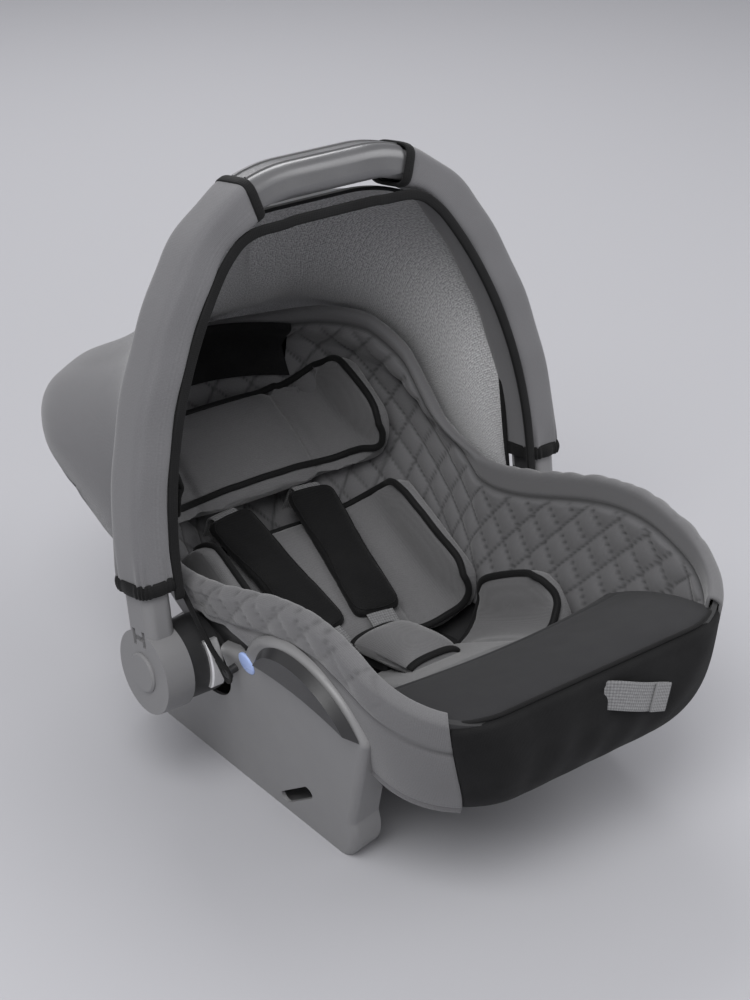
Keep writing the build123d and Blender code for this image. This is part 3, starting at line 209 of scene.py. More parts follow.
class Finishes:
    """Builds each finish once as a material, with shared pattern groups."""

    def __init__(self) -> None:
        """Make the pattern groups that the materials place."""
        self.made: dict[str, Material] = {}
        self.weave = self._weave_group()
        self.cloudy = self._cloudy_group()

    @staticmethod
    def _group(name: str, inputs: Sockets, outputs: Sockets) -> tuple[NodeTree, Node, Node]:
        """Empty node group with named sockets.

        Args:
            name: the group's name.
            inputs: pairs of socket name and socket type.
            outputs: pairs of socket name and socket type.

        Returns:
            The group with its input and output nodes.
        """
        group = bpy.data.node_groups.new(name, "ShaderNodeTree")
        for way, sockets in (("INPUT", inputs), ("OUTPUT", outputs)):
            for label, kind in sockets:
                group.interface.new_socket(name=label, in_out=way, socket_type=kind)
        return group, group.nodes.new("NodeGroupInput"), group.nodes.new("NodeGroupOutput")

    def _weave_group(self) -> NodeTree:
        """Threads: a half plus a quarter of the summed sines of the coordinates over one thread pitch.

        Returns:
            The group, from Vector and Pitch to Height.
        """
        group, source, sink = self._group("thread_weave", (("Vector", VECTOR), ("Pitch", NUMBER)),
                                          (("Height", NUMBER),))
        nodes, links = group.nodes, group.links
        turns = nodes.new("ShaderNodeMath")
        turns.operation = "DIVIDE"
        turns.inputs[0].default_value = 2 * math.pi
        scaled = nodes.new("ShaderNodeVectorMath")
        scaled.operation = "SCALE"
        waves = nodes.new("ShaderNodeVectorMath")
        waves.operation = "SINE"
        mean = nodes.new("ShaderNodeVectorMath")
        mean.operation = "DOT_PRODUCT"
        mean.inputs[1].default_value = (0.25, 0.25, 0.25)
        lifted = nodes.new("ShaderNodeMath")
        lifted.inputs[1].default_value = 0.5
        links.new(source.outputs["Pitch"], turns.inputs[1])
        links.new(source.outputs["Vector"], scaled.inputs[0])
        links.new(turns.outputs[0], scaled.inputs["Scale"])
        links.new(scaled.outputs[0], waves.inputs[0])
        links.new(waves.outputs[0], mean.inputs[0])
        links.new(mean.outputs["Value"], lifted.inputs[0])
        links.new(lifted.outputs[0], sink.inputs["Height"])
        return group

    def _cloudy_group(self) -> NodeTree:
        """Soft cloudy mask and a fine speckle, both from noise, each spread over 0 to 1.

        Returns:
            The group, with the scales of Cloud and Speckle as inputs and the two masks as outputs.
        """
        both = (("Cloud", NUMBER), ("Speckle", NUMBER))
        group, source, sink = self._group("cloud_and_speckle", (("Vector", VECTOR), *both), both)
        nodes, links = group.nodes, group.links
        for label, detail, low, high in (("Cloud", 3.0, 0.35, 0.65), ("Speckle", 2.0, 0.38, 0.62)):
            noise = nodes.new("ShaderNodeTexNoise")
            noise.inputs["Detail"].default_value = detail
            spread = nodes.new("ShaderNodeMapRange")
            spread.inputs["From Min"].default_value = low
            spread.inputs["From Max"].default_value = high
            links.new(source.outputs["Vector"], noise.inputs["Vector"])
            links.new(source.outputs[label], noise.inputs["Scale"])
            links.new(noise.outputs[0], spread.inputs["Value"])
            links.new(spread.outputs["Result"], sink.inputs[label])
        return group

    def of(self, finish: Finish) -> Material:
        """Material of a finish, made on first use.

        Args:
            finish: the finish to build.

        Returns:
            The material.
        """
        if finish.name not in self.made:
            self.made[finish.name] = self._build(finish)
        return self.made[finish.name]

    @staticmethod
    def _paint_groove_shade(material: Material, colour: Socket) -> Socket:
        """Darken a colour with painted shade in the sewn grooves along the piece's stitch lines.

        Args:
            material: the material being built.
            colour: the colour before stitching.

        Returns:
            The socket with the colour, darkened by painted shade in the sewn grooves.
        """
        nodes, links = material.node_tree.nodes, material.node_tree.links
        lines = nodes.new("ShaderNodeAttribute")
        lines.attribute_name = GROOVE_SHADE_ATTRIBUTE
        # Mix node that blends the painted groove shade into the colour.
        thread = nodes.new("ShaderNodeMix")
        thread.data_type = "RGBA"
        thread.inputs["B"].default_value = GROOVE_SHADE_TONE
        links.new(lines.outputs["Fac"], thread.inputs["Factor"])
        links.new(colour, thread.inputs["A"])
        return thread.outputs["Result"]

    @staticmethod
    def _place(material: Material, group: NodeTree, where: Socket, **values: float) -> Node:
        """Place a pattern group in a material.

        Args:
            material: the material being built.
            group: the pattern group.
            where: the coordinates that it reads.
            values: numbers for its other inputs, by their names.

        Returns:
            The group's node.
        """
        node = material.node_tree.nodes.new("ShaderNodeGroup")
        node.node_tree = group
        for label, value in values.items():
            node.inputs[label].default_value = value
        material.node_tree.links.new(where, node.inputs["Vector"])
        return node

    @staticmethod
    def _tint(material: Material, finish: Finish, speckle: Socket, pattern: Socket) -> Socket:
        """Colour between a finish's two tones, by a share of the speckle plus a share of the pattern.

        Args:
            material: the material being built.
            finish: the finish with the two tones.
            speckle: the fine speckle.
            pattern: the threads of a cloth, or the clouds of another finish.

        Returns:
            The socket with the colour.
        """
        nodes, links = material.node_tree.nodes, material.node_tree.links
        family = FAMILIES[finish.kind]
        share = nodes.new("ShaderNodeMath")
        share.operation = "MULTIPLY"
        share.inputs[1].default_value = family.pattern_share
        blend = nodes.new("ShaderNodeMath")
        blend.operation = "MULTIPLY_ADD"
        blend.use_clamp = True
        blend.inputs[1].default_value = family.speckle_share
        tint = nodes.new("ShaderNodeMix")
        tint.data_type = "RGBA"
        tint.inputs["A"].default_value = (*finish.tone, 1.0)
        tint.inputs["B"].default_value = (*finish.fleck, 1.0)
        links.new(pattern, share.inputs[0])
        links.new(speckle, blend.inputs[0])
        links.new(share.outputs[0], blend.inputs[2])
        links.new(blend.outputs[0], tint.inputs["Factor"])
        return tint.outputs["Result"]

    def _build(self, finish: Finish) -> Material:
        """Node tree of one finish: mixed tones, thread or grain relief, and gloss that varies with the clouds.

        Args:
            finish: the finish to build.

        Returns:
            The new material.
        """
        family = FAMILIES[finish.kind]
        material = bpy.data.materials.new(finish.name)
        material.use_nodes = True
        material.diffuse_color = (*finish.tone, 1.0)
        nodes, links = material.node_tree.nodes, material.node_tree.links
        shader = nodes["Principled BSDF"]
        where = nodes.new("ShaderNodeTexCoord").outputs["UV" if finish.on_uv else "Object"]
        grains = 1.0 / finish.pitch if family.cloth else GRAIN_SCALE
        cloud = self._place(material, self.cloudy, where, Cloud=family.cloud_scale, Speckle=grains)
        pattern, grain = cloud.outputs["Cloud"], cloud.outputs["Speckle"]
        if family.cloth:
            pattern = grain = self._place(material, self.weave, where, Pitch=finish.pitch).outputs["Height"]
        colour = self._tint(material, finish, cloud.outputs["Speckle"], pattern)
        # Painted shade in the sewn grooves, read from the piece's point attribute.
        if finish.groove_shaded:
            colour = self._paint_groove_shade(material, colour)
        links.new(colour, shader.inputs["Base Color"])
        gloss = nodes.new("ShaderNodeMapRange")
        gloss.inputs["To Min"].default_value = finish.rough - GLOSS_BELOW
        gloss.inputs["To Max"].default_value = finish.rough + GLOSS_ABOVE
        links.new(cloud.outputs["Cloud"], gloss.inputs["Value"])
        links.new(gloss.outputs["Result"], shader.inputs["Roughness"])
        bump = nodes.new("ShaderNodeBump")
        bump.inputs["Distance"].default_value = family.bump_depth
        bump.inputs["Strength"].default_value = finish.relief if family.cloth else GRAIN_RELIEF
        links.new(grain, bump.inputs["Height"])
        links.new(bump.outputs["Normal"], shader.inputs["Normal"])
        shader.inputs["Metallic"].default_value = family.metallic
        shader.inputs["Coat Weight"].default_value = family.coat
        if family.cloth:
            shader.inputs["Sheen Weight"].default_value = finish.sheen
            shader.inputs["Sheen Roughness"].default_value = SHEEN_ROUGHNESS
            shader.inputs["Specular IOR Level"].default_value = CLOTH_SPECULAR
        return material


def lerp(low: Values, high: Values, share: Values) -> Values:
    """Value a share of the way from low to high."""
    return low + (high - low) * share


def unit(vectors: Array) -> Array:
    """Vectors along the last axis, each divided by its own length."""
    return vectors / np.maximum(np.linalg.norm(vectors, axis=-1, keepdims=True), 1e-12)


def run_along(points: Array) -> Array:
    """Length walked along a line of points, from 0 at the first."""
    return np.concatenate([[0.0], np.cumsum(np.linalg.norm(np.diff(points, axis=0), axis=-1))])


def spline_through(knots: Array, values: Array, at: Array) -> Array:
    """Natural cubic spline: one linear system gives the second derivatives, then a cubic on each span.

    Args:
        knots: rising parameters, one per value.
        values: numbers or arrays at the knots, along the first axis.
        at: parameters to evaluate, held inside the knots' range.

    Returns:
        The spline's values, with the shape of at followed by that of one value.
    """
    x, y = np.asarray(knots, float), np.asarray(values, float)
    n, h = len(x), np.diff(x)
    inner = np.arange(1, n - 1)
    system = np.zeros((n, n))
    system[0, 0] = system[-1, -1] = 1.0
    system[inner, inner - 1], system[inner, inner + 1] = h[:-1], h[1:]
    system[inner, inner] = 2 * (h[:-1] + h[1:])
    flat = y.reshape(n, -1)
    right = np.zeros_like(flat)
    right[1:-1] = 6 * np.diff(np.diff(flat, axis=0) / h[:, None], axis=0)
    bend = np.linalg.solve(system, right).reshape(y.shape)
    at = np.clip(np.asarray(at, float), x[0], x[-1])
    k = np.clip(np.searchsorted(x, at, side="right") - 1, 0, n - 2)
    spread = (Ellipsis,) + (None,) * (y.ndim - 1)
    step = h[k][spread]
    low, high = ((x[k + 1] - at) / h[k])[spread], ((at - x[k]) / h[k])[spread]
    curve = (low ** 3 - low) * bend[k] + (high ** 3 - high) * bend[k + 1]
    return low * y[k] + high * y[k + 1] + curve * step ** 2 / 6


def smooth_line(points: Array, count: int, closed: bool = False) -> Array:
    """Even samples of a spline through points, spaced by the length along it.

    Args:
        points: the points passed through, one row each.
        count: number of samples.
        closed: whether the line returns to its start.

    Returns:
        An array of count rows.
    """
    points = np.asarray(points, float)
    if closed:
        points = np.concatenate([points[-3:], points, points[:4]])
    steps = np.linalg.norm(np.diff(points, axis=0), axis=1)
    knots = np.concatenate([[0.0], np.cumsum(np.maximum(steps, 1e-9))])
    ends = (knots[3], knots[-4]) if closed else (knots[0], knots[-1])
    fine = spline_through(knots, points, np.linspace(*ends, 12 * count))
    run = run_along(fine)
    wanted = np.linspace(0.0, run[-1], count, endpoint=not closed)
    return np.stack([np.interp(wanted, run, fine[:, axis]) for axis in range(3)], axis=-1)


def grid_normals(grid: Array) -> Array:
    """Unit normals of a grid of points, from the cross product of its two gradients."""
    return unit(np.cross(np.gradient(grid, axis=0), np.gradient(grid, axis=1)))


def oval(width: float, height: float, power: float, count: int) -> Array:
    """Closed profile |x/a|^p + |y/b|^p = 1, walked round by angle.

    Args:
        width: full size along the first axis.
        height: full size along the second axis.
        power: 2 for an ellipse, more for squarer corners.
        count: number of points.

    Returns:
        Points as rows of two.
    """
    angle = np.linspace(0, 2 * math.pi, count, endpoint=False)
    c, s = np.cos(angle), np.sin(angle)
    return np.stack([width / 2 * np.sign(c) * np.abs(c) ** (2 / power),
                     height / 2 * np.sign(s) * np.abs(s) ** (2 / power)], axis=-1)


def grid_piece(name: str, grid: Array, closed: tuple[bool, bool] = (False, False),
               capped: bool = False) -> Object:
    """Quad mesh over a grid, with UVs in metres along its two directions.

    Args:
        name: the piece's name.
        grid: points, first axis u and second axis v.
        closed: whether u and v wrap round.
        capped: whether the first and last rows of u are filled, for a tube that wraps in v.

    Returns:
        The new object, shaded smooth, with its normals outwards where it is closed.
    """
    nu, nv = grid.shape[:2]
    a, b = np.meshgrid(np.arange(nu if closed[0] else nu - 1), np.arange(nv if closed[1] else nv - 1),
                       indexing="ij")
    around = ((0, 0), (1, 0), (1, 1), (0, 1))
    corners = np.stack([np.stack([a + i, b + j], -1) for i, j in around], axis=2)
    index = (corners[..., 0] % nu) * nv + corners[..., 1] % nv
    faces = index.reshape(-1, 4).tolist()
    if capped:
        faces += [list(range(nv))[::-1], list(range((nu - 1) * nv, nu * nv))]
    mesh = bpy.data.meshes.new(name)
    mesh.from_pydata(grid.reshape(-1, 3).tolist(), [], faces)
    runs = []
    for axis in (0, 1):
        step = np.linalg.norm(np.diff(grid, axis=axis), axis=-1).mean(axis=1 - axis)
        run = np.concatenate([[0.0], np.cumsum(step)])
        runs.append(np.append(run, run[-1] + step[-1]))
    uv = np.stack([runs[0][corners[..., 0]], runs[1][corners[..., 1]]], axis=-1).reshape(-1, 2)
    layer = mesh.uv_layers.new(name="cloth_run")
    full = np.zeros((len(mesh.loops), 2), np.float32)
    full[:len(uv)] = uv
    layer.data.foreach_set("uv", full.ravel())
    mesh.shade_smooth()
    made = bpy.data.objects.new(name, mesh)
    bpy.context.scene.collection.objects.link(made)
    if capped or all(closed):
        face_outwards(mesh)
    return made


def face_outwards(mesh: Mesh) -> None:
    """Turn the faces of a closed mesh so that they all point outwards.

    Args:
        mesh: the mesh, changed in place.
    """
    work = bmesh.new()
    work.from_mesh(mesh)
    bmesh.ops.recalc_face_normals(work, faces=work.faces)
    work.to_mesh(mesh)
    work.free()


def swept(path: Array, profile: Array, lift: Array, closed: bool = False) -> Array:
    """Grid of a profile carried along a path: side = tangent x lift, and normal = side x tangent.

    Args:
        path: points along the path.
        profile: closed profile as (across, up) pairs, or one such profile per path point.
        lift: direction, or one per point, that the profile's second axis leans to.
        closed: whether the path returns to its start.

    Returns:
        The grid of points, path along its first axis.
    """
    if closed:
        tangent = unit(np.roll(path, -1, axis=0) - np.roll(path, 1, axis=0))
    else:
        tangent = unit(np.gradient(path, axis=0))
    side = unit(np.cross(tangent, np.broadcast_to(lift, path.shape)))
    normal = np.cross(side, tangent)
    profile = np.broadcast_to(profile, (len(path), *profile.shape[-2:]))
    return path[:, None] + profile[..., :1] * side[:, None] + profile[..., 1:] * normal[:, None]


def tube_piece(name: str, path: Array, profile: Array, lift: Array | Triple, closed: bool = False) -> Object:
    """Tube, tape or cord of a closed profile along a path, capped where the path is open."""
    grid = swept(path, profile, np.asarray(lift, float), closed)
    return grid_piece(name, grid, (closed, True), not closed)


def ridge(distance: Array, width: float) -> Array:
    """Soft bell over a distance: 1 at zero and fading over the width."""
    return np.exp(-(distance / width) ** 2)


def step_up(value: Values, low: Values, high: Values) -> Values:
    """Smooth step from 0 at low to 1 at high."""
    share = np.clip((value - low) / (high - low), 0.0, 1.0)
    return share * share * (3 - 2 * share)


def thicken(piece: Object, thickness: float, inner_slot: int = 0) -> None:
    """Give a sheet its thickness, inwards from its face.

    Args:
        piece: the sheet.
        thickness: its thickness.
        inner_slot: number of material slots from the face's slot to the inner side's.
    """
    wall = piece.modifiers.new("cloth_thickness", "SOLIDIFY")
    wall.thickness = thickness
    wall.offset = -1.0
    wall.material_offset = inner_slot


def refine(piece: Object, levels: int = 1) -> None:
    """Smooth a piece by subdivision, alike in view and render."""
    rounder = piece.modifiers.new("smooth_form", "SUBSURF")
    rounder.levels = rounder.render_levels = levels


@dataclass(frozen=True)
class Bucket:
    """Tub of the moulded shell: its plan outline at any height and its rim and hem lines."""

    floor_height: float = 0.046
    top_height: float = 0.312
    floor_half: float = 0.095
    rim_half: float = 0.172
    floor_front: float = -0.160
    rim_front: float = -0.2959
    floor_rear: float = 0.060
    rim_rear: float = 0.281
    floor_centre: float = -0.030
    rim_centre: float = 0.035
    floor_corner: float = 0.060
    rim_corner: float = 0.074
    side_flare: float = 3.4
    rear_flare: float = 1.9
    front_flare: float = 9.0
    front_full: float = 0.186
    rear_full: float = 0.258
    front_end: float = 0.14
    corner_end: float = 0.30
    side_end: float = 0.52
    rim_line: tuple[Pair, ...] = ((-0.2999, 0.182), (-0.2437, 0.2073), (-0.180, 0.228), (0.0, 0.190),
                                  (0.060, 0.1961), (0.125, 0.2349), (0.195, 0.258), (0.285, 0.258))
    hem_line: tuple[Pair, ...] = ((-0.2999, 0.092), (-0.180, 0.1268), (-0.130, 0.150), (-0.085, 0.1685),
                                  (0.0, 0.172), (0.125, 0.1823), (0.285, 0.205))
    level_passes: int = 8

    def growth(self, height: Array, exponent: float, full: float) -> Array:
        """Growth of the plan: 1 - (1 - share of the height)^exponent, scaled to 1 at the full height.

        Args:
            height: levels above the floor.
            exponent: how early the plan widens.
            full: level where it has its whole width.

        Returns:
            Shares of the way from the floor's plan to the rim's.
        """
        span = self.top_height - self.floor_height
        share = np.clip((height - self.floor_height) / span, 0.0, 1.0)
        whole = (full - self.floor_height) / span
        return (1 - (1 - share) ** exponent) / (1 - (1 - whole) ** exponent)

    def outline(self, turn: Array, height: Array, inset: Array) -> Array:
        """Points of the plan: front line, corner arc, side line and rear ellipse, walked by turn.

        Args:
            turn: 0 at the middle of the front, 1 or -1 at the rear on the right or left.
            height: level above the floor.
            inset: distance inside the shell's outer wall.

        Returns:
            Points along a new last axis.
        """
        turn, height, inset = np.broadcast_arrays(turn, height, inset)
        t = np.abs(turn)
        sides = self.growth(height, self.side_flare, self.top_height)
        rears = self.growth(height, self.rear_flare, self.rear_full)
        half = lerp(self.floor_half, self.rim_half, sides) - inset
        front = lerp(self.floor_front, self.rim_front,
                     self.growth(height, self.front_flare, self.front_full)) + inset
        rear = lerp(self.floor_rear, self.rim_rear, rears) - inset
        centre = lerp(self.floor_centre, self.rim_centre, rears)
        corner = lerp(self.floor_corner, self.rim_corner, sides) - inset
        arc = np.clip((t - self.front_end) / (self.corner_end - self.front_end), 0, 1) * math.pi / 2
        along = np.clip((t - self.corner_end) / (self.side_end - self.corner_end), 0, 1)
        sweep = np.clip((t - self.side_end) / (1 - self.side_end), 0, 1) * math.pi / 2
        parts = [t <= self.front_end, t <= self.corner_end, t <= self.side_end]
        x = np.select(parts, [t / self.front_end * (half - corner),
                              half - corner + corner * np.sin(arc), half], half * np.cos(sweep))
        y = np.select(parts, [front, front + corner - corner * np.cos(arc),
                              lerp(front + corner, centre, along)], centre + (rear - centre) * np.sin(sweep))
        return np.stack([x * np.sign(turn), y, height], axis=-1)

    def rear_wall(self, across: Array, height: Array, inset: Array) -> Array:
        """Points on the head end's curved wall, a half ellipse in plan.

        Args:
            across: distances from the middle.
            height: levels above the floor.
            inset: distances inside the shell's outer wall.

        Returns:
            Points along a new last axis.
        """
        rears = self.growth(height, self.rear_flare, self.rear_full)
        sides = self.growth(height, self.side_flare, self.top_height)
        half = lerp(self.floor_half, self.rim_half, sides) - inset
        rear = lerp(self.floor_rear, self.rim_rear, rears) - inset
        centre = lerp(self.floor_centre, self.rim_centre, rears)
        across, height = np.broadcast_arrays(across, height)
        reach = centre + (rear - centre) * np.sqrt(1 - (across / half) ** 2)
        return np.stack([across, reach, height], axis=-1)

    def level(self, line: tuple[Pair, ...], turn: Array, inset: float) -> Array:
        """Height where a line drawn over Y meets the wall at each turn, found by repeated substitution.

        Args:
            line: pairs of Y and height.
            turn: places along the plan, as outline has them.
            inset: distance inside the shell's outer wall.

        Returns:
            One height per turn.
        """
        knots = np.array(line)
        height = np.full(np.shape(turn), knots[:, 1].mean())
        for _ in range(self.level_passes):
            reach = self.outline(turn, height, inset)[..., 1]
            height = spline_through(knots[:, 0], knots[:, 1], reach)
        return height


@dataclass(frozen=True)
class Arch:
    """Carry handle's arch: a line of side arcs, crown arcs and a flat top on a leaning plane."""

    hub_height: float = 0.125
    lean: float = math.radians(8.4)
    half: float = 0.217
    spring: float = 0.080
    flat: float = 0.034
    rise: float = 0.295
    crown: float = 0.130
    depth: float = 0.025
    width: float = 0.036
    samples: int = 160

    @property
    def front(self) -> Array:
        """Direction square to the arch's plane, towards the foot end."""
        return np.array([0.0, -math.cos(self.lean), math.sin(self.lean)])

    def place(self, across: Array, up: Array, ahead: Array) -> Array:
        """Points of the arch's own plane in the frame's axes.

        Args:
            across: distances from the middle.
            up: distances from the pivot axis, along the plane.
            ahead: distances in front of the plane.

        Returns:
            Points along a new last axis.
        """
        rising = np.array([0.0, math.sin(self.lean), math.cos(self.lean)])
        across, up, ahead = np.broadcast_arrays(across, up, ahead)
        spot = up[..., None] * rising + ahead[..., None] * self.front
        spot = spot + np.array([0.0, 0.0, self.hub_height])
        spot[..., 0] += across
        return spot

    def line(self, low: float, grow: float, count: int) -> tuple[Array, Array]:
        """Arch line grown outwards, from the left arm's low end over the top to the right arm's.

        Args:
            low: height above the pivot axis where the line starts and ends.
            grow: offset outwards from the arch's outer edge.
            count: number of points, evenly spaced.

        Returns:
            Distances across and up.
        """
        span = self.half - self.flat
        side_radius = (span ** 2 + self.rise ** 2 - 2 * self.rise * self.crown) / (2 * (span - self.crown))
        offset = side_radius - self.half
        crown_height = self.spring + self.rise - self.crown
        turn = math.atan2(crown_height - self.spring, self.flat + offset)
        fine = np.linspace(0, 1, self.samples)
        first, second = turn * fine, lerp(turn, math.pi / 2, fine)
        x = np.concatenate([np.full(self.samples, self.half + grow),
                            -offset + (side_radius + grow) * np.cos(first),
                            self.flat + (self.crown + grow) * np.cos(second), self.flat * (1 - fine)])
        z = np.concatenate([lerp(low, self.spring, fine),
                            self.spring + (side_radius + grow) * np.sin(first),
                            crown_height + (self.crown + grow) * np.sin(second),
                            np.full(self.samples, self.spring + self.rise + grow)])
        x, z = np.concatenate([-x, x[::-1]]), np.concatenate([z, z[::-1]])
        run = run_along(np.stack([x, z], axis=-1))
        wanted = np.linspace(0, run[-1], count)
        return np.interp(wanted, run, x), np.interp(wanted, run, z)


@dataclass(frozen=True)
class Swelling:
    """Numbers of the cloth simulation that blows a cushion up, and of the softening before it."""

    weld: float = 1e-5
    soften_share: float = 0.5
    soften_passes: int = 5
    quality: int = 4
    mass: float = 0.3
    stretch: float = 25.0
    shear: float = 10.0
    bending: float = 2.0
    pressure: float = 4.0
    frames: int = 14
    cache_end: int = 20


@dataclass
class Workbench:
    """What every sub-assembly needs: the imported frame, the finishes and the base forms."""

    frame: dict
    finishes: Finishes
    bucket: Bucket = field(default_factory=Bucket)
    arch: Arch = field(default_factory=Arch)
    swelling: Swelling = field(default_factory=Swelling)

    def settle(self, piece: Object, finish: Finish, body: str, *nodes: str) -> Object:
        """Dress a piece, let it ride on a body and stand for frame nodes.

        Args:
            piece: the piece, in place.
            finish: its finish, whose material it wears.
            body: the body that it moves with, or an empty word where it rides on none.
            nodes: frame nodes that it stands for.

        Returns:
            The same piece.
        """
        piece.data.materials.clear()
        piece.data.materials.append(self.finishes.of(finish))
        if body:
            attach(piece, body)
        if nodes:
            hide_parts(*nodes)
        LOG.info("%s: %d points, %s", piece.name, len(piece.data.vertices), finish.name)
        return piece

    def soft_copy(self, name: str, node: str, voxel: float, shrink: float, cap: float) -> Object:
        """Cushion from a node's own form: merged, remeshed, drawn in, then blown up as cloth.

        Args:
            name: the piece's name.
            node: frame node whose form it takes.
            voxel: remesh size.
            shrink: how far the form is drawn in before it swells.
            cap: furthest that a point may move while it swells.

        Returns:
            The new piece, with no modifier left on it.
        """
        mesh = self.frame["nodes"][node].data.copy()
        mesh.name = name
        mesh.materials.clear()
        work = bmesh.new()
        work.from_mesh(mesh)
        bmesh.ops.remove_doubles(work, verts=work.verts, dist=self.swelling.weld)
        bmesh.ops.recalc_face_normals(work, faces=work.faces)
        work.to_mesh(mesh)
        work.free()
        piece = bpy.data.objects.new(name, mesh)
        bpy.context.scene.collection.objects.link(piece)
        remesh = piece.modifiers.new("remesh", "REMESH")
        remesh.mode = "VOXEL"
        remesh.voxel_size = voxel
        soften = piece.modifiers.new("soften", "SMOOTH")
        soften.factor = self.swelling.soften_share
        soften.iterations = self.swelling.soften_passes
        self.take_shape(piece)
        start = coordinates(piece.data)
        put_coordinates(piece.data, start - shrink * normals(piece.data))
        self._swell(piece, cap)
        piece.data.shade_smooth()
        return piece

    @staticmethod
    def take_shape(piece: Object) -> None:
        """Make the evaluated mesh the piece's own, with no modifiers.

        Args:
            piece: the piece, changed in place.
        """
        graph = bpy.context.evaluated_depsgraph_get()
        baked = bpy.data.meshes.new_from_object(piece.evaluated_get(graph))
        piece.modifiers.clear()
        old, piece.data = piece.data, baked
        bpy.data.meshes.remove(old)
        baked.name = piece.name

    def _swell(self, piece: Object, cap: float) -> None:
        """Blow a closed form up as cloth under pressure.

        Args:
            piece: the piece, changed in place.
            cap: furthest that a point may move.
        """
        swelling = self.swelling
        start = coordinates(piece.data)
        cloth = piece.modifiers.new("cloth", "CLOTH")
        cloth.settings.quality = swelling.quality
        cloth.settings.mass = swelling.mass
        cloth.settings.tension_stiffness = cloth.settings.compression_stiffness = swelling.stretch
        cloth.settings.shear_stiffness = swelling.shear
        cloth.settings.bending_stiffness = swelling.bending
        cloth.settings.use_pressure = True
        cloth.settings.uniform_pressure_force = swelling.pressure
        cloth.settings.effector_weights.gravity = 0.0
        cloth.point_cache.frame_end = swelling.cache_end
        scene = bpy.context.scene
        for frame in range(1, swelling.frames + 1):
            scene.frame_set(frame)
        graph = bpy.context.evaluated_depsgraph_get()
        moved = coordinates(piece.evaluated_get(graph).data)
        piece.modifiers.clear()
        scene.frame_set(1)
        move = moved - start
        length = np.linalg.norm(move, axis=1, keepdims=True)
        put_coordinates(piece.data, start + move * np.minimum(1.0, cap / np.maximum(length, 1e-9)))


def rows_of(vectors: bpy.types.bpy_prop_collection, key: str) -> Array:
    """Vectors of a mesh as rows of three.

    Args:
        vectors: the mesh's points or point normals.
        key: name of the vector in each of them.

    Returns:
        One row per point.
    """
    flat = np.zeros(len(vectors) * 3, np.float32)
    vectors.foreach_get(key, flat)
    return flat.reshape(-1, 3).astype(float)


def coordinates(mesh: Mesh) -> Array:
    """A mesh's points as rows of three."""
    return rows_of(mesh.vertices, "co")


def normals(mesh: Mesh) -> Array:
    """A mesh's point normals as rows of three."""
    return rows_of(mesh.vertex_normals, "vector")


def put_coordinates(mesh: Mesh, points: Array) -> None:
    """Write a mesh's points back."""
    mesh.vertices.foreach_set("co", points.astype(np.float32).ravel())
    mesh.update()


def press_seam(mesh: Mesh, distance: Array, depth: float, width: float) -> None:
    """Press a sewn channel into a mesh: points move inwards by a bell over their distance from the seam."""
    put_coordinates(mesh, coordinates(mesh) - depth * ridge(distance, width)[:, None] * normals(mesh))


def laid_on(piece: Object, path: Array, lift: float, smoothing: int = 3) -> Array:
    """Path moved onto the nearest points of a piece's surface, lifted off it and smoothed.

    Args:
        piece: the piece that carries the path.
        path: points near its surface, as a closed line.
        lift: distance off the surface.
        smoothing: number of averaging passes.

    Returns:
        The moved path.
    """
    tree = BVHTree.FromPolygons([point.co for point in piece.data.vertices],
                                [face.vertices for face in piece.data.polygons])
    found = [tree.find_nearest(Vector(point)) for point in path]
    spots = np.array([hit[0] + hit[1] * lift for hit in found])
    for _ in range(smoothing):
        spots = 0.5 * spots + 0.25 * (np.roll(spots, 1, axis=0) + np.roll(spots, -1, axis=0))
    return spots


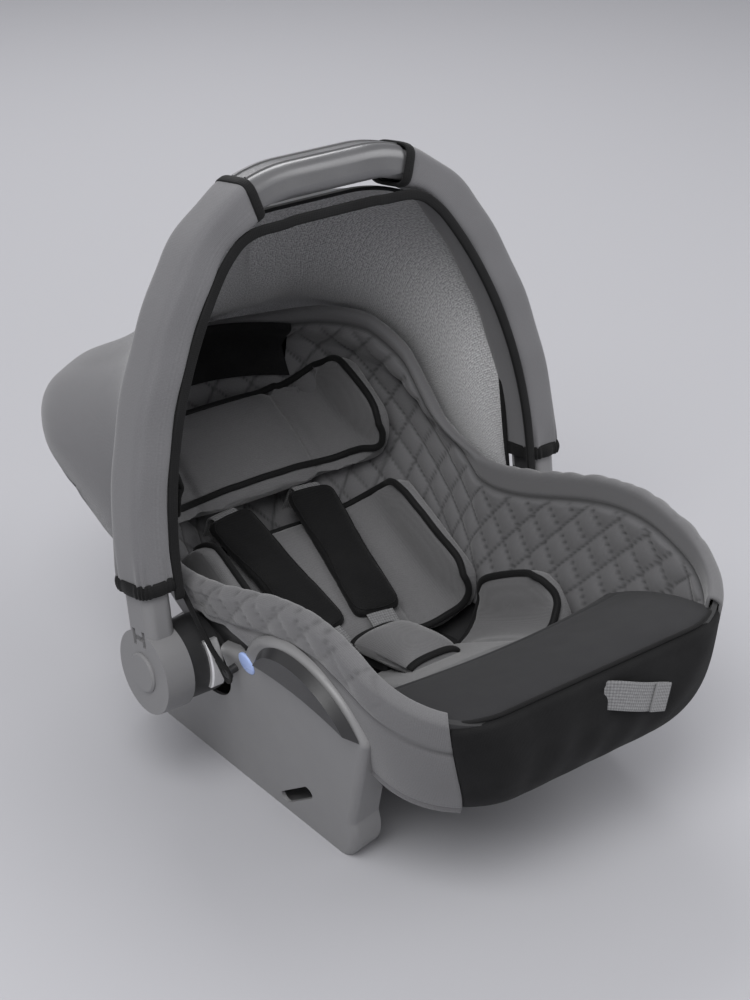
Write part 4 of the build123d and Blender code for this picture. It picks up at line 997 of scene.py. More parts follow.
@dataclass
class SeatCover:
    """Quilted lining, padded roll over the rim and outer skirt, with a tape along its hem."""

    bench: Workbench
    apron_turn: float = 0.205
    lining_inset: float = 0.0093
    skirt_inset: float = -0.0040
    floor_level: float = 0.080
    rim_rise: float = 0.004
    hem_drop: float = 0.002
    hem_tuck: float = 0.0028
    quilt_pitch: float = 0.034
    quilt_height: float = 0.0042
    quilt_power: float = 0.42
    quilt_fade: float = 0.006
    rim_strip: float = 0.014
    head_strip: float = 0.007
    head_reach: Pair = (0.0, 0.09)
    strip_width: float = 0.0022
    strip_depth: float = 0.0020
    outer_band: float = 0.024
    band_top: Pair = (0.004, 0.012)
    band_fade: float = 0.005
    band_start: Pair = (-0.250, -0.215)
    band_end: Pair = (-0.02, 0.03)
    band_share: float = 0.65
    seam_gap: float = 0.001
    seam_width: float = 0.0018
    seam_depth: float = 0.0012
    wave_height: float = 0.0009
    # Width, shares and cap of the painted shade in the sewn grooves.
    groove_shade_width: float = 0.13
    groove_shade_shares: Triple = (0.75, 0.8, 0.6)
    groove_shade_cap: float = 0.85
    head_lean: float = 0.016
    lean_height: float = 0.024
    head_wall: tuple[Pair, ...] = ((-0.30, 0.0), (0.030, 0.0), (0.072, 0.020), (0.115, 0.043), (0.160, 0.045),
                                   (0.210, 0.035), (0.250, 0.024), (0.285, 0.018))
    columns: int = 420
    rows: tuple[int, int, int, int] = (84, 15, 34, 4)
    thickness: float = 0.0028
    hem_tape: Pair = (0.0026, 0.009)

    def grid(self) -> tuple[Array, Array]:
        """Cover from the lining's low edge over the rim roll to the skirt's hem, turn along the first axis.

        Returns:
            Points, and how much painted shade the sewn grooves take at each.
        """
        bucket = self.bench.bucket
        half = self.columns // 2
        turn = np.concatenate([np.linspace(self.apron_turn, 1, half),
                               np.linspace(-1, -self.apron_turn, half)[1:]])
        radius = (self.lining_inset - self.skirt_inset) / 2
        middle = (self.lining_inset + self.skirt_inset) / 2
        rim = bucket.level(bucket.rim_line, turn, middle) + self.rim_rise - radius
        edge = rim[:, None]
        reach = bucket.outline(turn, rim, middle)[:, 1]
        knots = np.array(self.head_wall)
        rim = (rim + np.interp(reach, knots[:, 0], knots[:, 1]))[:, None]
        hem = bucket.level(bucket.hem_line, turn, self.skirt_inset)[:, None]
        lining_rows, roll_rows, skirt_rows, tuck_rows = self.rows
        inside = np.linspace(0, 1, lining_rows, endpoint=False)[None]
        roll = np.linspace(0, math.pi, roll_rows)[None]
        outside = np.linspace(0, 1, skirt_rows)[None, 1:]
        tuck = np.linspace(0, 1, tuck_rows)[None, 1:]
        level = np.concatenate([lerp(self.floor_level, rim, inside), rim + radius * np.sin(roll),
                                lerp(rim, hem, outside), hem - self.hem_drop * tuck], axis=1)
        inset = np.concatenate([np.full_like(inside, self.lining_inset), middle + radius * np.cos(roll),
                                np.full_like(outside, self.skirt_inset),
                                self.skirt_inset + self.hem_tuck * tuck], axis=1)
        leant = inset + self.head_lean * step_up(level - edge, 0.0, self.lean_height)
        form = bucket.outline(turn[:, None], np.minimum(level, edge + radius), leant)
        form[..., 2] = level
        height, thread = self.relief(form)
        return form - height[..., None] * grid_normals(form), thread

    def relief(self, form: Array) -> tuple[Array, Array]:
        """Height of the padding: diamond quilt (|sin||sin|)^power, a strip seam and soft skirt waves.

        Args:
            form: the smooth cover.

        Returns:
            Heights over the grid, and how much painted shade the sewn grooves take at each point.
        """
        lining, roll = self.rows[:2]
        step = np.linalg.norm(np.diff(form, axis=1), axis=-1)
        down = np.concatenate([np.zeros((len(form), 1)), np.cumsum(step, axis=1)], axis=1)
        below = down[:, lining:lining + 1] - down
        along = run_along(form[:, lining, :2])[:, None]
        first = np.sin(math.pi * (along + form[..., 2]) / self.quilt_pitch)
        second = np.sin(math.pi * (along - form[..., 2]) / self.quilt_pitch)
        quilt = np.abs(first * second) ** self.quilt_power
        row = np.arange(form.shape[1])[None]
        edge = lerp(self.rim_strip, self.head_strip, step_up(form[:, lining, 1], *self.head_reach))[:, None]
        quilted = step_up(below, edge, edge + self.quilt_fade) * (row < lining)
        strip = ridge(below - edge, self.strip_width) * (row < lining)
        outer = row > lining + roll
        waves = self.wave_height * np.sin(along * 31 + below * 12) * np.sin(along * 9.0)
        fall = -below - math.pi * (self.lining_inset - self.skirt_inset) / 2
        reach = form[:, lining:lining + 1, 1]
        window = step_up(reach, *self.band_start) * (1 - step_up(reach, *self.band_end))
        band_low = 1 - step_up(fall, self.outer_band - self.band_fade, self.outer_band)
        banded = window * step_up(-below, *self.band_top) * band_low
        quilted = quilted + self.band_share * banded * (row >= lining)
        seam = ridge(fall - self.outer_band - self.seam_gap, self.seam_width) * outer
        # Painted shade in the sewn grooves: along the quilt lines, the strip seam and the skirt seam.
        thread = np.maximum(ridge(first, self.groove_shade_width), ridge(second, self.groove_shade_width))
        lines = sum(share * line for share, line in zip(self.groove_shade_shares, (thread * quilted, strip, seam)))
        height = (self.quilt_height * quilt * quilted - self.strip_depth * strip + waves * outer
                  - self.seam_depth * seam)
        return height, np.clip(lines, 0, self.groove_shade_cap)

    def build(self) -> None:
        """Make the cover and the tape along its hem."""
        grid, thread = self.grid()
        # thread holds the painted shade of the sewn grooves, which is stored as a point attribute for the
        # cover's material.
        cover = grid_piece("seat_cover_cloth", grid[::-1])
        lines = cover.data.attributes.new(GROOVE_SHADE_ATTRIBUTE, "FLOAT", "POINT")
        lines.data.foreach_set("value", thread[::-1].astype(np.float32).ravel())
        thicken(cover, self.thickness)
        self.bench.settle(cover, COVER_KNIT, "seat", "seat_cover")
        edge = grid[:, -3]
        tape = tube_piece("skirt_hem_tape", edge, oval(*self.hem_tape, 3, 14), (0, 0, 1))
        self.bench.settle(tape, COVER_KNIT, "seat")


@dataclass
class FrontApron:
    """Dark pad over the foot end, the black bumper panel below it and the cord on their seam."""

    bench: Workbench
    turn: float = 0.204
    rear: float = -0.176
    rear_bow: float = 0.012
    rear_height: float = 0.1475
    seam_height: float = 0.1862
    seam_inset: float = 0.0035
    seam_lift: float = 0.0018
    seam_cord: float = 0.0034
    crown: float = 0.008
    puff: float = 0.0055
    pad_thickness: float = 0.016
    crease_depth: float = 0.0022
    crease_place: float = 0.86
    crease_width: float = 0.025
    roll_radius: float = 0.0066
    roll_inset: float = 0.0026
    roll_start: float = 0.35
    bumper_inset: float = -0.004
    bumper_swell: float = 0.0052
    bumper_folds: float = 0.0007
    bumper_thickness: float = 0.003
    strap_height: float = 0.1695
    pucker_depth: float = 0.0022
    pucker_rise: float = 0.004
    pucker_size: Pair = (0.030, 0.004)
    pad_counts: tuple[int, int] = (141, 61)
    bumper_counts: tuple[int, int, int] = (161, 13, 47)
    seam_count: int = 120

    def seam_line(self, turn: Array) -> Array:
        """Seam between pad and bumper, along the front of the rim."""
        return self.bench.bucket.outline(turn, np.full_like(turn, self.seam_height), self.seam_inset)

    def pad_grid(self) -> Array:
        """Pad as a closed form: crowned top from seam to rear edge, rolled edges and a flat underside.

        Returns:
            Points across the seat by round the pad.
        """
        columns, rows = self.pad_counts
        across = np.linspace(-1, 1, columns)
        seam = self.seam_line(across * self.turn)
        back = np.stack([across * abs(seam[-1, 0]), self.rear + self.rear_bow * across ** 2,
                         np.full_like(across, self.rear_height)], axis=-1)
        share = np.linspace(0, 1, rows)
        top = lerp(seam[:, None], back[:, None], share[None, :, None])
        swell = (1 - across[:, None] ** 6) * (1 - (2 * share[None] - 1) ** 6)
        top[..., 2] += self.crown * 4 * share * (1 - share) + self.puff * swell
        crease = ridge(share[None] - self.crease_place, self.crease_width)
        top[..., 2] -= self.crease_depth * crease * (1 - across[:, None] ** 8)
        low = top.copy()
        low[..., 2] -= self.puff * swell + self.pad_thickness * swell ** 0.3
        return np.concatenate([top, low[:, ::-1][:, 1:-1]], axis=1)

    @staticmethod
    def outward(form: Array) -> Array:
        """Normals of the bumper, turned to the foot end."""
        normal = grid_normals(form)
        return normal * np.sign(-normal[form.shape[0] // 2, -10, 1])

    def bumper_grid(self) -> Array:
        """Bumper from the seam round the roll and down to the hem, swollen, with a pucker at the strap.

        Returns:
            Points across the seat by down the front, with the normals to the foot end.
        """
        bucket = self.bench.bucket
        columns, roll_rows, rows = self.bumper_counts
        turn = np.linspace(-self.turn, self.turn, columns)
        hem = bucket.level(bucket.hem_line, turn, self.bumper_inset)[:, None]
        roll = np.linspace(self.roll_start, math.pi, roll_rows)[None]
        down = np.linspace(0, 1, rows)[None, 1:]
        top = self.seam_height - self.roll_radius
        level = np.concatenate([top + self.roll_radius * np.sin(roll) + 0 * hem, lerp(top, hem, down)], axis=1)
        inset = np.concatenate([self.roll_inset + self.roll_radius * np.cos(roll),
                                np.full_like(down, self.bumper_inset)], axis=1)
        form = bucket.outline(turn[:, None], level, np.broadcast_to(inset, level.shape))
        side = np.abs(turn[:, None]) / self.turn
        fall = np.concatenate([np.zeros_like(roll), down], axis=1)
        swell = self.bumper_swell * np.sin(math.pi * np.clip(fall, 0, 1)) ** 0.7 * (1 - side ** 10)
        folds = self.bumper_folds * np.sin(turn[:, None] * 90 + 5 * fall) * np.sin(math.pi * fall)
        wide, high = self.pucker_size
        above = form[..., 2] - self.strap_height - self.pucker_rise
        pucker = -self.pucker_depth * ridge(form[..., 0], wide) * ridge(above, high)
        grid = form + (swell + folds + pucker)[..., None] * self.outward(form)
        return grid if grid_normals(grid)[len(grid) // 2, 30, 1] <= 0 else grid[::-1]

    def build(self) -> None:
        """Make the pad, the bumper and the cord on their seam."""
        bench = self.bench
        pad = grid_piece("apron_pad", self.pad_grid(), (False, True), True)
        bench.settle(pad, CHARCOAL_KNIT, "seat", "front_apron_upper")
        bumper = grid_piece("apron_bumper", self.bumper_grid())
        thicken(bumper, self.bumper_thickness)
        bench.settle(bumper, BUMPER_KNIT, "seat", "front_apron_lower")
        seam = self.seam_line(np.linspace(-self.turn, self.turn, self.seam_count))
        seam = seam + np.array([0, 0, self.seam_lift])
        cord = tube_piece("apron_seam_cord", seam, oval(self.seam_cord, self.seam_cord, 2, 10), (0, 0, 1))
        bench.settle(cord, BLACK_TAPE, "seat")


@dataclass(frozen=True)
class HoodBow:
    """One arch line of the hood about the pivot axis, and its place between the front and the hem.

    The lean is in degrees from upright. A flare widens the low ends, and ahead moves the line off its plane.
    """

    place: float
    lean: float
    half: float
    top: float
    corner: float
    low: float
    flare: float = 0.0
    ahead: float = 0.0


@dataclass
class Canopy:
    """Cloth hood between the handle and the head end, with its bound edges."""

    bench: Workbench
    thickness: float = 0.0014
    binding: Pair = (0.0085, 0.0034)
    elastic: Pair = (0.0075, 0.0042)
    tuck: float = 0.0042
    side_share: float = 0.3
    corner_share: float = 0.52
    flat_start: float = 0.82
    flat_share: float = 0.18
    middle: Triple = (0.0, 0.08, 0.2)
    low_middle: Triple = (0.0, 0.03, 0.2)
    slack: float = 0.0007
    gather: float = 0.0012
    columns: int = 241
    rows: int = 121
    bows: tuple[HoodBow, ...] = (HoodBow(0.0, 8.4, 0.186, 0.338, 0.150, 0.056, ahead=-0.0150),
                                 HoodBow(0.18, 22.0, 0.170, 0.337, 0.158, 0.058, flare=0.013),
                                 HoodBow(0.40, 36.0, 0.165, 0.300, 0.150, 0.062, flare=0.013),
                                 HoodBow(0.61, 50.0, 0.173, 0.290, 0.114, 0.094),
                                 HoodBow(0.865, 65.0, 0.170, 0.3223, 0.088, 0.140),
                                 HoodBow(1.0, 73.0, 0.152, 0.308, 0.088, 0.218))
    folds: tuple[tuple[float, ...], ...] = ((0.33, 0.06, 0.0028, 0.020), (0.40, 0.02, -0.0024, 0.022),
                                            (0.67, -0.06, 0.0028, 0.020), (0.60, -0.02, -0.0024, 0.022),
                                            (0.25, 0.10, -0.0018, 0.018), (0.75, -0.10, -0.0018, 0.018))

    def section(self, bow: HoodBow, walk: Array) -> Array:
        """One arch line of the hood: side line, corner arc, top line, corner arc, side line.

        Args:
            bow: the arch line's sizes.
            walk: shares from the left low end to the right low end.

        Returns:
            Points along the line.
        """
        lean = math.radians(bow.lean)
        share = 1 - np.abs(2 * walk - 1)
        side = np.clip(share / self.side_share, 0, 1)
        arc = np.clip((share - self.side_share) / self.corner_share, 0, 1) * math.pi / 2
        flat = np.clip((share - self.flat_start) / self.flat_share, 0, 1)
        across = bow.half - bow.corner + bow.corner * np.cos(arc) - (bow.half - bow.corner) * flat
        across = across + bow.flare * (1 - side) ** 2
        up = lerp(bow.low, bow.top - bow.corner, side) + bow.corner * np.sin(arc)
        arch = self.bench.arch
        base = np.array([0.0, 0.0, arch.hub_height]) + bow.ahead * arch.front
        spot = base + up[:, None] * np.array([0.0, math.sin(lean), math.cos(lean)])
        spot[:, 0] = np.sign(walk - 0.5) * across
        return spot

    def grid(self) -> Array:
        """Hood as a spline through its bows, with folds from the grip's ends, slack waves and a gathered hem.

        Each fold has its start across the hood, its drift towards the hem, its depth and its width.

        Returns:
            Points from front to hem by left to right, with the normals outwards.
        """
        walk = np.linspace(0, 1, self.columns)
        share = np.linspace(0, 1, self.rows)
        knots = np.array([bow.place for bow in self.bows])
        form = spline_through(knots, np.stack([self.section(bow, walk) for bow in self.bows]), share)
        middle = np.array(self.middle)
        out = grid_normals(form)
        out *= np.sign(((form - middle) * out).sum(-1, keepdims=True))
        s, w = share[:, None], walk[None]
        fade = np.sin(math.pi * np.clip(s * 1.02, 0, 1)) * (1 - 0.6 * s)
        folds = sum(depth * ridge(w - start - drift * s, wide) * fade
                    for start, drift, depth, wide in self.folds)
        slack = self.slack * np.sin(w * 43 + 2.0 * s) * step_up(s, 0.55, 0.8) * (1 - step_up(s, 0.97, 1.0))
        gather = self.gather * np.sin(w * 190) * step_up(s, 0.90, 0.99)
        grid = form + (folds + slack + gather)[..., None] * out
        row, column = self.rows // 2, self.columns // 2
        inside_out = (grid[row, column] - middle) @ grid_normals(grid)[row, column] < 0
        return grid[:, ::-1] if inside_out else grid

    def build(self) -> None:
        """Make the hood and its front and hem bindings, which ride on no body."""
        bench = self.bench
        grid = self.grid()
        hood = grid_piece("canopy_hood", grid)
        bench.settle(hood, GREY_KNIT, "", "canopy")
        hood.data.materials.append(bench.finishes.of(LINING_MESH))
        thicken(hood, self.thickness, 1)
        bench.take_shape(hood)
        middle = np.array(self.low_middle)
        front = tube_piece("canopy_front_tape", grid[0], oval(*self.binding, 4, 16), grid[0] - middle)
        tucked = grid[-3] - self.tuck * unit(grid[-3] - middle)
        hem = tube_piece("canopy_hem_elastic", tucked, oval(*self.elastic, 4, 16), grid[-1] - middle)
        for piece in (front, hem):
            bench.settle(piece, BLACK_TAPE, "")
        for piece in (hood, front, hem):
            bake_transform(piece)


@dataclass
class HandleDress:
    """Cloth sleeves on the arms, their elastic bands and the tape along the sleeves' inner front edge."""

    bench: Workbench
    samples: int = 420
    sleeve_points: int = 64
    band_points: int = 96
    band_rows: int = 9
    tape_samples: int = 300
    sleeve_low: float = 0.079
    sleeve_end: float = 0.076
    sleeve_thickness: float = 0.001
    grow: float = 0.0034
    girth: float = 0.018
    gather: float = 0.0009
    folds: float = 0.0013
    slack: float = 0.0004
    band_low: float = 0.0685
    band_high: float = 0.0800
    band_grow: float = 0.0042
    band_ribs: float = 0.0006
    band_bulge: float = 0.0012
    end_grow: float = 0.002
    end_tape: Pair = (0.0032, 0.0085)
    front_tape: Pair = (0.0085, 0.0040)
    tape_low: float = 0.0600
    tape_below: float = 0.0058
    tape_ahead: float = 0.0015
    tape_sag: float = 0.011
    sag_start: float = 0.020
    sag_run: float = 0.05

    def arm_path(self) -> tuple[Array, Array]:
        """Middle line of the arch from one sleeve's low end to the other's.

        Returns:
            Points, and the direction outwards in the arch's plane at each.
        """
        arch = self.bench.arch
        x, z = arch.line(self.sleeve_low, -arch.depth / 2, self.samples)
        xo, zo = arch.line(self.sleeve_low, 0.0, self.samples)
        path = arch.place(x, z, np.zeros_like(x))
        return path, unit(arch.place(xo, zo, np.zeros_like(xo)) - path)

    def around(self, grow: float, power: float, count: int) -> Array:
        """Section of an arm, grown on all sides."""
        arch = self.bench.arch
        return oval(arch.width + 2 * grow, arch.depth + 2 * grow, power, count)

    def sleeve(self, side: Side) -> Object:
        """Sleeve as a rounded box section carried along one arm, gathered low and folded near the grip.

        Args:
            side: the arm's side.

        Returns:
            The new piece.
        """
        path, outward = self.arm_path()
        keep = path[:, 0] * side.value > self.sleeve_end
        path, outward = path[keep], outward[keep]
        if side is Side.RIGHT:
            path, outward = path[::-1], outward[::-1]
        share = np.linspace(0, 1, len(path))[:, None]
        turn = np.linspace(0, 2 * math.pi, self.sleeve_points, endpoint=False)[None]
        gather = self.gather * np.cos(11 * turn) * (1 - step_up(share, 0.0, 0.10))
        folds = self.folds * np.sin(26 * share + 1.3 * np.cos(turn) + 0.6) * step_up(share, 0.70, 0.95)
        slack = self.slack * np.sin(9 * share * math.pi + 2 * np.sin(turn)) * np.sin(math.pi * share)
        factor = 1 + (gather + folds + slack) / self.girth
        profile = self.around(self.grow, 5.5, self.sleeve_points)
        grid = swept(path, profile[None] * factor[..., None], outward)
        sleeve = grid_piece(f"{side.word}_arm_sleeve", grid, (False, True))
        face_outwards(sleeve.data)
        thicken(sleeve, self.sleeve_thickness)
        return sleeve

    def build(self) -> None:
        """Make both sleeves, bands, end tapes and the long front tape."""
        bench, arch = self.bench, self.bench.arch
        for side in Side:
            sleeve = self.sleeve(side)
            bench.settle(sleeve, GREY_KNIT, "handle", f"{side.word}_canopy_sleeve")
            bench.settle(self.band(side), BLACK_TAPE, "handle", f"{side.word}_sleeve_band")
            bench.settle(self.end_binding(side), BLACK_TAPE, "handle")
        x, z = arch.line(self.tape_low, -arch.depth - self.tape_below, self.tape_samples)
        ahead = np.full_like(x, arch.width / 2 + self.tape_ahead)
        sag = self.tape_sag * step_up(self.sleeve_end + self.sag_start - np.abs(x), 0.0, self.sag_run)
        path = arch.place(x, z - sag, ahead)
        tape = tube_piece("arch_front_tape", path, oval(*self.front_tape, 3.5, 16), arch.front)
        bench.settle(tape, BLACK_TAPE, "handle")

    def band(self, side: Side) -> Object:
        """Elastic band round one arm: the arm's section between two heights, bulged and finely gathered.

        Args:
            side: the arm's side.

        Returns:
            The new piece.
        """
        arch = self.bench.arch
        up = np.linspace(self.band_low, self.band_high, self.band_rows)
        middle = np.full_like(up, side.value * (arch.half - arch.depth / 2))
        ribs = np.cos(np.arange(self.band_points) * math.pi / 2)[None]
        bulge = np.sin(np.linspace(0, math.pi, self.band_rows))[:, None]
        factor = 1 + (self.band_ribs * ribs + self.band_bulge * bulge) / self.girth
        profile = self.around(self.band_grow, 4.5, self.band_points)[None] * factor[..., None]
        path = arch.place(middle, up, np.zeros_like(up))
        grid = swept(path, profile, np.array([float(side.value), 0, 0]))
        return grid_piece(f"{side.word}_sleeve_elastic", grid, (False, True), True)

    def end_binding(self, side: Side) -> Object:
        """Tape that binds a sleeve's upper end round the arch beside the grip.

        Args:
            side: the arm's side.

        Returns:
            The new piece.
        """
        path, outward = self.arm_path()
        spot = np.argmin(np.abs(path[:, 0] - side.value * self.sleeve_end))
        around = self.around(self.grow + self.end_grow / 2, 4.2, 72)
        loop = path[spot] + around[:, :1] * self.bench.arch.front + around[:, 1:] * outward[spot]
        along = unit(path[spot + 1] - path[spot - 1])
        return tube_piece(f"{side.word}_sleeve_end_tape", loop, oval(*self.end_tape, 3, 12), along, True)


@dataclass(frozen=True)
class Wedge:
    """One hugging cushion's outline: its slope, reach and wings, as its frame node has them."""

    node: str
    slope: float
    origin: Pair
    length: float
    rise: float
    corner: float
    lean: float
    draw: float
    crease: float
    half: float
    tip: float = 0.022

    def place(self, along: Array, up: Array, across: Array) -> Array:
        """Points from distances along the slope, square to it and across."""
        c, s = math.cos(self.slope), math.sin(self.slope)
        return np.stack([across, self.origin[0] + along * c - up * s, self.origin[1] + along * s + up * c], -1)

    def local(self, points: Array) -> tuple[Array, Array]:
        """Distances of points along the slope and square to it.

        Args:
            points: the points, as rows of three.

        Returns:
            Both distances.
        """
        c, s = math.cos(self.slope), math.sin(self.slope)
        y, z = points[:, 1] - self.origin[0], points[:, 2] - self.origin[1]
        return y * c + z * s, z * c - y * s

    def wing_reach(self, up: Array) -> Array:
        """Distance from the middle to a wing's inner face: a round hollow that starts at the crease.

        Args:
            up: heights square to the slope.

        Returns:
            One distance per height.
        """
        span = self.half - self.tip - self.crease
        radius = (span ** 2 + self.rise ** 2) / (2 * self.rise)
        held = np.clip(up, 0, self.rise)
        return self.crease + np.sqrt(np.maximum(radius ** 2 - (radius - held) ** 2, 0))

    def rim(self) -> Array:
        """Sewn edge all round: up one wing's front, along its top, down its rear, across, and back.

        Returns:
            Points of the closed line.
        """
        top = self.rise + self.tip / 2
        bend = 0.35 * self.corner
        shoulder = top - 0.12 * self.corner
        along = np.array([0.0, -0.42 * self.lean, -self.lean + bend,
                          0.5 * (self.length - self.draw - self.lean), self.length - self.draw - bend,
                          self.length - 0.45 * self.draw, self.length])
        up = np.array([0.0, 0.5 * top, shoulder, top, shoulder, 0.5 * top, 0.0])
        right = self.place(along, up, self.wing_reach(up) + 0.2 * self.tip * (up > 0))
        left = right[::-1] * np.array([-1, 1, 1])
        rear = self.place(np.full(3, self.length), np.zeros(3), np.array([0.5, 0, -0.5]) * self.crease)
        front = self.place(np.zeros(3), np.zeros(3), np.array([-0.5, 0, 0.5]) * self.crease)
        return smooth_line(np.concatenate([right, rear, left, front]), 260, True)


HEAD_WEDGE = Wedge("head_cushion", math.radians(34), (0.150, 0.170), length=0.116, rise=0.058, corner=0.042,
                   lean=0.050, draw=0.050, crease=0.066, half=0.124)
BODY_WEDGE = Wedge("body_cushion", math.radians(27), (-0.008, 0.068), length=0.162, rise=0.050, corner=0.038,
                   lean=0.014, draw=0.036, crease=0.060, half=0.114)
SEAT_WEDGE = Wedge("seat_cushion", math.radians(-27), (-0.160, 0.126), length=0.152, rise=0.044, corner=0.040,
                   lean=-0.010, draw=0.044, crease=0.064, half=0.114)


@dataclass
class Cushions:
    """Head, body and seat cushions with black bindings, and the bare back panel."""

    bench: Workbench
    wedges: tuple[Wedge, ...] = (HEAD_WEDGE, BODY_WEDGE, SEAT_WEDGE)
    voxel: float = 0.0045
    shrink: float = 0.0025
    cap: float = 0.006
    crease_depth: float = 0.0042
    crease_width: float = 0.0042
    crease_low: float = -0.012
    binding: float = 0.0062
    binding_lift: float = 0.0012
    binding_passes: int = 4
    hollow: Pair = (0.05, 0.1)
    panel_half: float = 0.084
    panel_levels: Pair = (0.230, 0.283)
    panel_inset: float = 0.0165
    panel_depth: float = 0.0048
    panel_lean: float = 0.016
    lean_level: float = 0.2553
    lean_height: float = 0.024
    panel_counts: tuple[int, int] = (81, 48)

    def panel_grid(self) -> Array:
        """Back panel on the head end's wall: a closed oval of rows between two insets, bent to the wall.

        Returns:
            Points across the seat by round the panel.
        """
        columns, points = self.panel_counts
        across = np.linspace(-1, 1, columns)[:, None]
        turn = np.linspace(0, 2 * math.pi, points, endpoint=False)[None]
        low, high = self.panel_levels
        taper = (1 - across ** 16) ** 0.5
        level = (low + high) / 2 + (high - low) / 2 * np.sign(np.cos(turn)) * np.abs(np.cos(turn)) ** 0.4
        inset = self.panel_inset + 0.5 * self.panel_depth * np.sin(turn) * taper
        inset = inset + self.panel_lean * step_up(level - self.lean_level, 0.0, self.lean_height)
        return self.bench.bucket.rear_wall(across * self.panel_half, level + 0 * across, inset)

    def build(self) -> None:
        """Make each cushion by simulation, press its creases and bind its edge."""
        bench = self.bench
        for wedge in self.wedges:
            cushion = bench.soft_copy(f"{wedge.node}_pad", wedge.node, self.voxel, self.shrink, self.cap)
            points = coordinates(cushion.data)
            _, up = wedge.local(points)
            away = np.where(up > self.crease_low, np.abs(points[:, 0]) - wedge.crease, 1.0)
            press_seam(cushion.data, away, self.crease_depth, self.crease_width)
            refine(cushion)
            bench.settle(cushion, CUSHION_KNIT, "seat", wedge.node)
            edge = laid_on(cushion, wedge.rim(), self.binding_lift, self.binding_passes)
            middle = np.array([0.0, *np.add(wedge.origin, self.hollow)])
            tape = tube_piece(f"{wedge.node}_binding", edge, oval(self.binding, self.binding, 2.3, 14),
                              edge - middle, True)
            bench.settle(tape, BLACK_TAPE, "seat")
        panel = grid_piece("back_panel_pad", self.panel_grid(), (False, True), True)
        bench.settle(panel, BLACK_KNIT, "seat", "back_panel")


